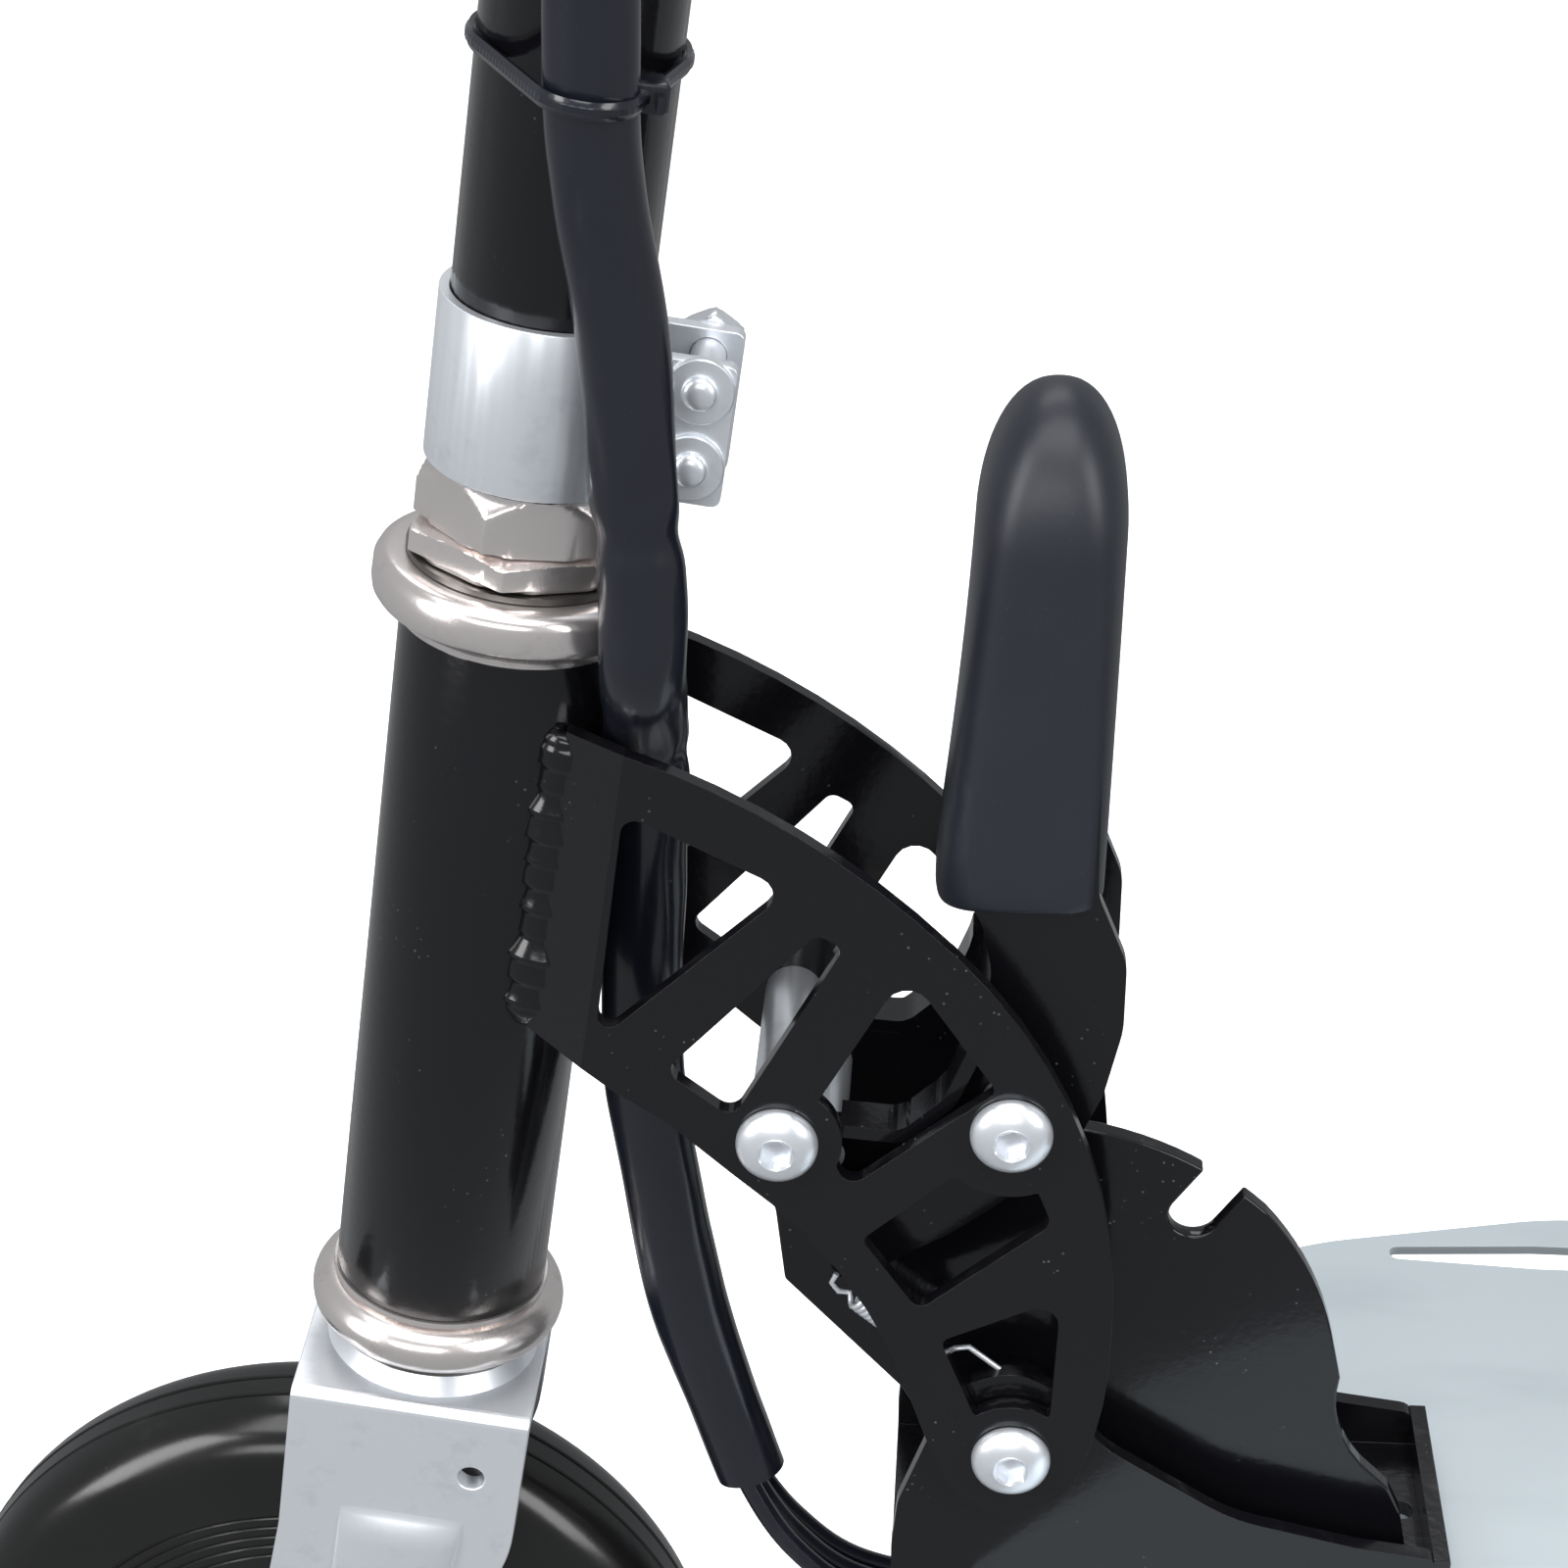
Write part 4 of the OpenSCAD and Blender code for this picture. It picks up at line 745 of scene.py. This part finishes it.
CRUMPLES = ((0.345, 0.026), (0.535, 0.036))
SLEEVE_R, WIDE, THIN = 6.85, 1.04, 0.84
sleeve_places = [
    (0, 24.5, 410), (0, 24.5, 340), (1, 24.5, 285), (3.9, 24.5, 250), (7.5, 24.5, 230),
    (13.9, 24, 207), (18.2, 23.5, 183), (21.7, 23.3, 164), (23.3, 22.4, 151), (24.9, 11.5, 135),
    (26.3, 7, 120), (27.6, 4, 103), (29.5, 3, 83), (32.6, 3, 62), (37.9, 3, 42), (45.6, 3, 16),
    (54.9, 3, -6), (62.8, 3, -24),
]
sleeve_path = smooth_path([beside(*place) for place in sleeve_places], 14)


def bends(share):
    """1 where the sleeve is crumpled: above the tie, and beside the headset."""
    return sum(math.exp(-((share - at) / width) ** 2) for at, width in CRUMPLES)


def sleeve_section(i, share):
    """A flattened ring with lengthwise folds that wander and dents where it bends."""
    ring, count = [], 56
    length, crumple = share * 26, bends(share)
    tail = max(0.0, (share - 0.9) / 0.1)
    tied = math.exp(-((share - 0.372) / 0.010) ** 2)
    for j in range(count):
        a = math.tau * j / count
        soft = noise.noise(Vector((math.cos(a) * 1.1, math.sin(a) * 1.1, length * 0.55)))
        ridge = noise.noise(Vector((math.cos(a) * 1.6, math.sin(a) * 1.6, length * 1.3 + 31)))
        r = SLEEVE_R * (1 + 0.055 * soft + (0.016 + 0.13 * crumple) * ridge - 0.04 * crumple)
        r *= (1 - 0.12 * tied) * (1 - 0.1 * tail)
        ring.append((r * math.cos(a) * WIDE, r * math.sin(a) * THIN))
    return ring


sleeve = Shape().loft(carried(sleeve_path, sleeve_section, left))
sleeve = sleeve.make("cable_sleeve_creased", jacket, None, "cable_jacket", ["cable_sleeve"], crease=75)
beside(26, 8, 118)
beside(19, 23, 180)
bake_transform(sleeve)

# %% [markdown]
# A cable tie holds the sleeve to the stem. Its strap runs round both like a belt round two
# pulleys, with very faint ribs across it, and its head is a small block with the cut tail
# standing out of it.

# %% Cable tie
TIE_Z, TIE_W, RIB_STEP, EDGE, CORNER = 245.1, 2.8, 0.4, 0.55, 0.35
STEM_R, TIED_R, SPAN = 16.25, 7.0, Vector((3.9, 24.5)).length
tie_foot = beside(0, 0, TIE_Z)
toward = (left * 24.5 - ahead * 3.9).normalized()
flank = toward.cross(column).normalized()
lean = math.acos((STEM_R - TIED_R) / SPAN)
belt = [(0, STEM_R, lean + (math.tau - 2 * lean) * i / 110) for i in range(111)]
belt += [(SPAN, TIED_R, -lean + 2 * lean * i / 40) for i in range(41)]
corners = []
for centre, r, a in belt:
    corners.append(Vector((centre + r * math.cos(a), r * math.sin(a), math.cos(a), math.sin(a))))
loop_points = []
for p, q in zip(corners, corners[1:] + corners[:1]):
    parts = max(1, round((p.xy - q.xy).length / RIB_STEP))
    loop_points += [p.lerp(q, k / parts) for k in range(parts)]
rings = []
for i, (x, y, normal_x, normal_y) in enumerate(loop_points):
    proud = 1.25 if i % 3 else 1.16
    normal = (toward * normal_x + flank * normal_y).normalized()
    base = tie_foot + (toward * x + flank * y) * MM
    section = [(0, 0.2), (0.75, 0), (0.95, EDGE), (proud, EDGE + CORNER)]
    section += [(out, TIE_W - height) for out, height in reversed(section)]
    rings.append([base + (normal * out + column * height) * MM for out, height in section])
tie = Shape().loft(rings, loop=True)
side = flank if flank.dot(ahead) < 0 else -flank
head_at = tie_foot + (toward * (SPAN - 3.5) + side * 9.4) * MM
HEAD_SIZES = ((-1.0, 2.1), (-0.8, 2.5), (-0.4, 2.7), (3.3, 2.7), (3.7, 2.5), (3.9, 2.1))
HEAD_SHAPE = (
    (-1, -1), (0.82, -1), (1, -0.82), (1, 0.82), (0.82, 1), (-0.82, 1), (-1, 0.82), (-1, -0.9),
)
rings = []
for height, half in HEAD_SIZES:
    ring = [head_at + (toward * a * half + side * b * half + column * height) * MM for a, b in HEAD_SHAPE]
    rings.append(ring)
tie.loft(rings)
tail = [head_at + (side * 1.2 + toward * t + column * 1.4) * MM for t in (2, 4, 5.5)]
tail_section = [(-1.2, -0.5), (1.2, -0.5), (1.2, 0.5), (-1.2, 0.5)]
tie.loft(carried(tail, lambda i, share: tail_section, side))
tie.make("toothed_tie", jacket, "steering", "black_plastic", ["cable_tie"], crease=30)

# %% [markdown]
# The loose cables are plain round jackets with steel hidden inside. Above, they curve from the
# brake lever and the throttle into the sleeve. Below, three of them leave its cut end and go
# through a grommet in the nose of the battery pan.

# %% Loose cables
BAR_S, GRIP_IN, SLEEVE_TOP = 760, 100, 411
bar = (steer(0, 0, BAR_S) - hinge) / MM
axis_at = AXIS_X - SLEEVE_TOP * TILT
upper = [
    [
        (bar.x + 19, GRIP_IN - 33, bar.z), (bar.x + 24, GRIP_IN - 56, bar.z - 14), (24, 38, 690),
        (29, 27, 600), (42, 24.5, 480), (axis_at, 26.5, SLEEVE_TOP),
    ],
    [
        (bar.x + 20, 8 - GRIP_IN, bar.z - 16), (bar.x + 34, -64, bar.z - 60), (38, -24, 640),
        (52, 10, 560), (47, 22, 480), (axis_at, 21, SLEEVE_TOP),
    ],
]
leads = Shape()
for route in upper:
    path = smooth_path([neck(*p) for p in route], 14)
    leads.loft(carried(path, round_section(2.4, 20)))
    ferrule = [path[0].lerp(path[3], t) for t in (0, 0.5, 1)]
    leads.loft(carried(ferrule, round_section(3.1, 20)))
leads.make("upper_leads", jacket, "steering", "cable_jacket", ["upper_cables"], crease=60)

nose = (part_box("battery_pan")[1][0] - hinge.x) / MM
sill = (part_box("deck_plate")[0][2] - hinge.z) / MM - 20
back, _, low_end = sleeve_places[-1]
lower = Shape()
for i in (-1, 0, 1):
    route = [
        beside(back - 3.4, 3 + i * 2.6, low_end + 8), beside(back + 0.4, 3 + i * 3.4, low_end - 1),
        neck(40, 3 + i * 4.4, -38), neck(28, 2 + i * 4.6, -49), neck(nose + 14, i * 4.4, sill),
        neck(nose - 6, i * 4.2, sill),
    ]
    lower.loft(carried(smooth_path(route, 12), round_section(2.0, 20)))
lower = lower.make("lower_leads", jacket, None, "cable_jacket", ["lower_cables"], crease=60)
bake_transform(lower)
lip = [(6.6, -2), (8.8, -2), (9.2, -1.4), (9.2, 1.2), (8.6, 1.9), (7, 2.2), (6.4, 1.4)]
seal = Shape().loft(turned(neck(nose, 0, sill), (1, 0, 0), lip, 48), loop=True)
seal.make("cable_grommet", housing, "deck", "black_plastic")

# %% [markdown]
# The ladder plates are welded to the head tube, and the base to the deck by a thinner seam. Each
# bead is a row of overlapping puddles, so its section swells and shrinks along the seam and never
# quite runs straight.


# %% Weld beads
def bead(shape, route, radius, pitch, seed):
    """A weld along a route, as overlapping puddles of about radius millimetres."""
    length = sum((b - a).length for a, b in zip(route, route[1:])) / MM
    count = max(12, round(length / pitch * 7))
    fine = []
    for k in range(count + 1):
        at = k / count * (len(route) - 1)
        cell = min(int(at), len(route) - 2)
        fine.append(route[cell].lerp(route[cell + 1], at - cell))

    def section(i, share):
        puddle = 0.82 + 0.24 * (1 - i / 7 % 1) ** 1.5
        size = radius * puddle * (1 + 0.42 * noise.noise(Vector((share * 9, seed, 0.5))))
        size *= min(1, 0.35 + share * 12, 0.35 + (1 - share) * 12)
        drift = 1.4 * noise.noise(Vector((share * 6, 3.3, seed)))
        ring = []
        for j in range(18):
            a = math.tau * j / 18
            wide = size + 0.22 * noise.noise(Vector((share * 22, j * 0.7, seed)))
            ring.append((wide * math.cos(a) + drift, size * math.sin(a) * 0.6))
        return ring

    shape.loft(carried(fine, section, Vector((0.3, 0.9, 0.2))))


SEAM_LOW, SEAM_HIGH = 82, 138
welds, base_welds = Shape(), Shape()
for turn in (-1, 1):
    heights = [SEAM_LOW + (SEAM_HIGH - SEAM_LOW) * k / 12 for k in range(13)]
    bead(welds, [beside(10.8, turn * 16.6, z) for z in heights], 4.3, 4.6, turn)
    bead(base_welds, [neck(-78 + 8 * k, turn * 22.9, -32.4) for k in range(12)], 1.5, 1.7, turn + 5)
welds.make("head_tube_welds", black_coat, "neck", "black_coat", crease=80)
base_welds.make("neck_base_welds", black_coat, "deck", "black_coat", crease=80)

# %% [markdown]
# The stem's collar is squeezed by two bolts through its ears. Their ends stand out of the near ear
# as small domes, with a nut and washer on the far one; only the nut is built.

# %% Collar bolts
CLAMP_FOOT, EAR, EAR_X, SCREW_R = 180.4, 9, -25.5, 2.95
DOME_END = [
    (5.4, 0), (5.5, 0.2), (5.5, 0.9), (5.3, 1.15), (SCREW_R, 1.2), (SCREW_R, 1.7), (2.75, 2.3),
    (2.2, 2.8), (1.2, 3.1),
]
SMALL_NUT = [(3, 0.1), (4.9, 0.1), (5.3, 0.35), (5.75, 0.8), (5.75, 4), (5.3, 4.5), (4.9, 4.7), (3, 4.7)]
screws = Shape()
for s in (CLAMP_FOOT + 6.5, CLAMP_FOOT + 19.5):
    near, far = steer(EAR_X, EAR, s), steer(EAR_X, -EAR, s)
    screws.loft(turned(near, left, DOME_END, 48))
    screws.loft(turned(near, -left, [(SCREW_R, -0.4), (SCREW_R, 25.4), (2.4, 25.9)], 32))
    screws.loft(turned(far, -left, SMALL_NUT, 60, hexagon(10)), loop=True)
screws.make("collar_bolts", zinc, "steering", "zinc", ["clamp_bolts"])

# %% [markdown]
# Each leg of the pressed fork has a raised rib down its outside, which stiffens the plate. It is a
# long pillow whose section swells out of the leg and dies away at both ends.

# %% Fork ribs
RIB_TOP, RIB_LONG, RIB_HIGH, RIB_HALF, LEG_OUT = -21, 50, 2.4, 11.5, 22.9
ribs = Shape()
for turn in (-1, 1):
    rings = []
    for k in range(31):
        t = k / 30
        ends = min(math.sin(math.pi * min(t * 4, 0.5)), math.sin(math.pi * min((1 - t) * 3, 0.5)))
        rise, half = RIB_HIGH * ends, RIB_HALF - 2 * t
        ring = []
        for a in [math.pi * j / 18 for j in range(19)]:
            out = LEG_OUT + rise * math.sin(a) ** 0.8
            ring.append(steer(3 * t + half * math.cos(a), turn * out, RIB_TOP - RIB_LONG * t))
        rings.append(ring)
    ribs.loft(rings)
ribs.make("fork_ribs", zinc, "steering", "zinc", crease=60)

# %% [markdown]
# The tyres are solid and glossy, with a round tread and fine rings moulded in their sidewalls. The
# profile is turned once and used for both wheels.

# %% Tyres
WHEEL_R, ROUND_R, HALF_TYRE = 75, 13, 14.8
wall = [(42, 13.8), (42.6, 14.6), (44, 14.9)]
for r in (47, 49.2, 51.4, 53.6, 55.8):
    wall += [(r - 0.5, 15), (r - 0.2, 14.55), (r + 0.2, 14.55), (r + 0.5, 15)]
wall += [(59, 15.0), (62, HALF_TYRE)]
for a in [math.radians(d) for d in range(8, 88, 8)]:
    wall.append((WHEEL_R - ROUND_R + ROUND_R * math.sin(a) ** 0.9, HALF_TYRE * math.cos(a) ** 0.72))
wall += [(WHEEL_R, 3.2), (WHEEL_R - 0.6, 2.9), (WHEEL_R - 0.6, 2.3), (WHEEL_R, 2.0)]
profile = wall + [(r, -h) for r, h in reversed(wall)]
for end, centre in (("front", front_centre), ("rear", rear_centre)):
    tyre = Shape().loft(turned(centre, left, profile, 160), loop=True)
    tyre.make(end + "_tyre_turned", tread, end + "_wheel", "tyre", [end + "_tyre"], crease=40)

# %% [markdown]
# The chain is a 25-pitch roller chain: pairs of inner plates on bushes, joined by pairs of outer
# plates. Each link is placed on the line that wraps both sprockets, one pitch after the last.

# %% Drive chain
PITCH, CHAIN_Y, BIG_TEETH, SMALL_TEETH = 6.35, -31, 55, 11
LINK_R, WAIST, PLATE_HALF, OUTER_Y, INNER_Y = 2.6, 1.7, 0.4, 3.6, 2.4
motor_centre = Vector(joints["motor_turn"]["pos_m"])
big_r, small_r = (PITCH / 2 / math.sin(math.pi / teeth) for teeth in (BIG_TEETH, SMALL_TEETH))
gap = Vector((motor_centre.x - rear_centre.x, 0, motor_centre.z - rear_centre.z)) / MM
tilt, span = math.atan2(gap.z, gap.x), gap.length
lean = math.acos((big_r - small_r) / span)
track = []
for i in range(91):
    a = lean + (math.tau - 2 * lean) * i / 90
    track.append(Vector((big_r * math.cos(a), big_r * math.sin(a))))
for i in range(31):
    a = -lean + 2 * lean * i / 30
    track.append(Vector((span + small_r * math.cos(a), small_r * math.sin(a))))
lengths = [0]
for p, q in zip(track, track[1:] + track[:1]):
    lengths.append(lengths[-1] + (q - p).length)
links = round(lengths[-1] / PITCH / 2) * 2
print("chain", round(lengths[-1]), "mm round, in", links, "links")


def on_track(distance):
    """The point of the chain's line at a distance along it, as (x, z) in the scene."""
    distance %= lengths[-1]
    k = max(i for i in range(len(track)) if lengths[i] <= distance)
    share = (distance - lengths[k]) / (lengths[k + 1] - lengths[k])
    p = track[k].lerp(track[(k + 1) % len(track)], share)
    c, s = math.cos(tilt), math.sin(tilt)
    return Vector((rear_centre.x + (p.x * c - p.y * s) * MM, rear_centre.z + (p.x * s + p.y * c) * MM))


def link_outline(a, b):
    """A link's plate: a round end about each of its two pins, and a narrow waist."""
    along, middle = (b - a).normalized(), (a + b) / 2
    across = Vector((-along.y, along.x))
    outline = []
    for end, sign in ((a, -1), (b, 1)):
        for d in range(-100, 101, 40):
            t = math.radians(d)
            spoke = along * sign * math.cos(t) + across * sign * math.sin(t)
            outline.append(end + spoke * LINK_R * MM)
    outline.insert(6, middle - across * WAIST * MM)
    outline.append(middle + across * WAIST * MM)
    return outline


chain = Shape()
for k in range(links):
    a, b = on_track(k * lengths[-1] / links), on_track((k + 1) * lengths[-1] / links)
    outline = link_outline(a, b)
    apart = OUTER_Y if k % 2 else INNER_Y
    for y in (CHAIN_Y - apart, CHAIN_Y + apart):
        faces = (y - PLATE_HALF, y + PLATE_HALF)
        chain.loft([[Vector((p.x, rear_centre.y + out * MM, p.y)) for p in outline] for out in faces])
    pin = Vector((a.x, rear_centre.y + (CHAIN_Y - 4.2) * MM, a.y))
    chain.loft(turned(pin, left, [(1.15, 0), (1.15, 8.4)], 10))
    chain.loft(turned(pin + left * 2.6 * MM, left, [(1.65, 0), (1.65, 3.2)], 12))
chain.make("roller_chain", chain_steel, "deck", "chain_steel", ["drive_chain"])

# %% [markdown]
# The hand grips are soft rubber tubes with a flange at the inner end and a row of raised rings for
# the fingers. The right one is shorter, because the throttle sits inside it on the bar.

# %% Grips
BAR_END, THROTTLE_END, RING_PITCH = 213, 153, 3.8
FLANGE = [(11.3, 0), (17.6, 0), (18.4, 0.6), (18.4, 2.6), (17.6, 3.2), (15.2, 3.6)]
bar_centre = steer(0, 0, BAR_S)


def grip(shape, inner, outer, sign):
    """Rings from the flange at inner out to the closed end at outer."""
    profile, reach, h = list(FLANGE), outer - inner, 6
    while h < reach - 10:
        profile += [(15.0, h), (15.9, h + 0.6), (15.9, h + 2.0), (15.0, h + 2.6)]
        h += RING_PITCH
    profile += [(15.4, reach - 7), (16.0, reach - 6), (16.0, reach - 2.5), (15.0, reach - 0.7)]
    profile += [(12.5, reach), (5, reach), (0.5, reach)]
    shape.loft(turned(bar_centre + left * sign * inner * MM, left * sign, profile, 56))


grips = Shape()
grip(grips, GRIP_IN, BAR_END, 1)
grip(grips, THROTTLE_END, BAR_END, -1)
grips.make("ribbed_grips", grip_rubber, "steering", "grip_rubber", ["hand_grips"], crease=30)

# %% [markdown]
# The throttle's sleeve has twenty-two ribs along it. They come from a lathe whose radius is
# limited by a wave round the axis, between two plain collars.


# %% Throttle
def ribbed(a):
    """Radius of the throttle's ribs at an angle."""
    return 15.6 + 0.8 * min(1, max(0, math.sin(a * 22) * 2 + 0.6))


inner_collar = [(11.3, 0), (15.8, 0), (16.3, 0.5), (16.3, 4), (15.6, 4.4)]
outer_collar = [(15.6, 0.2), (16.3, 0.6), (16.3, 4), (15.8, 4.6), (11.3, 4.6)]
rings = []
for inner, profile, limit in (
    (100.2, inner_collar, None), (104.8, [(17, 0.2), (17, 42)], ribbed), (147.2, outer_collar, None),
):
    rings += turned(bar_centre - left * inner * MM, -left, profile, 176, limit)
twist = Shape().loft(rings)
twist.make("ribbed_throttle", grip_rubber, "throttle", "grip_rubber", ["throttle_grip"], crease=30)

# %% [markdown]
# The deck's mat is rubber sheet with rows of low round studs. They are real geometry, because
# their shadows show at a low angle.

# %% Studs of the mat
STUD_PITCH, SIDE_LIMIT, END_MARGIN = 9, 0.074, 0.008
STUD = [(2.6, -0.2), (2.5, 0.35), (2.0, 0.7), (1, 0.8)]
mat_low, mat_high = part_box("grip_mat")
studs = Shape()
rows = int((mat_high.y - mat_low.y) / MM / STUD_PITCH) - 1
columns = int((mat_high.x - mat_low.x) / MM / STUD_PITCH) - 1
for i in range(columns):
    for j in range(rows):
        x = mat_low.x + STUD_PITCH * (1 + i) * MM
        y = mat_low.y + STUD_PITCH * (1 + j + i % 2 / 2) * MM
        if abs(y) <= SIDE_LIMIT and min(x - mat_low.x, mat_high.x - x) >= END_MARGIN:
            studs.loft(turned(Vector((x, y, mat_high.z)), (0, 0, 1), STUD, 10))
studs.make("mat_studs", grip_rubber, "deck", "grip_mat", crease=50)
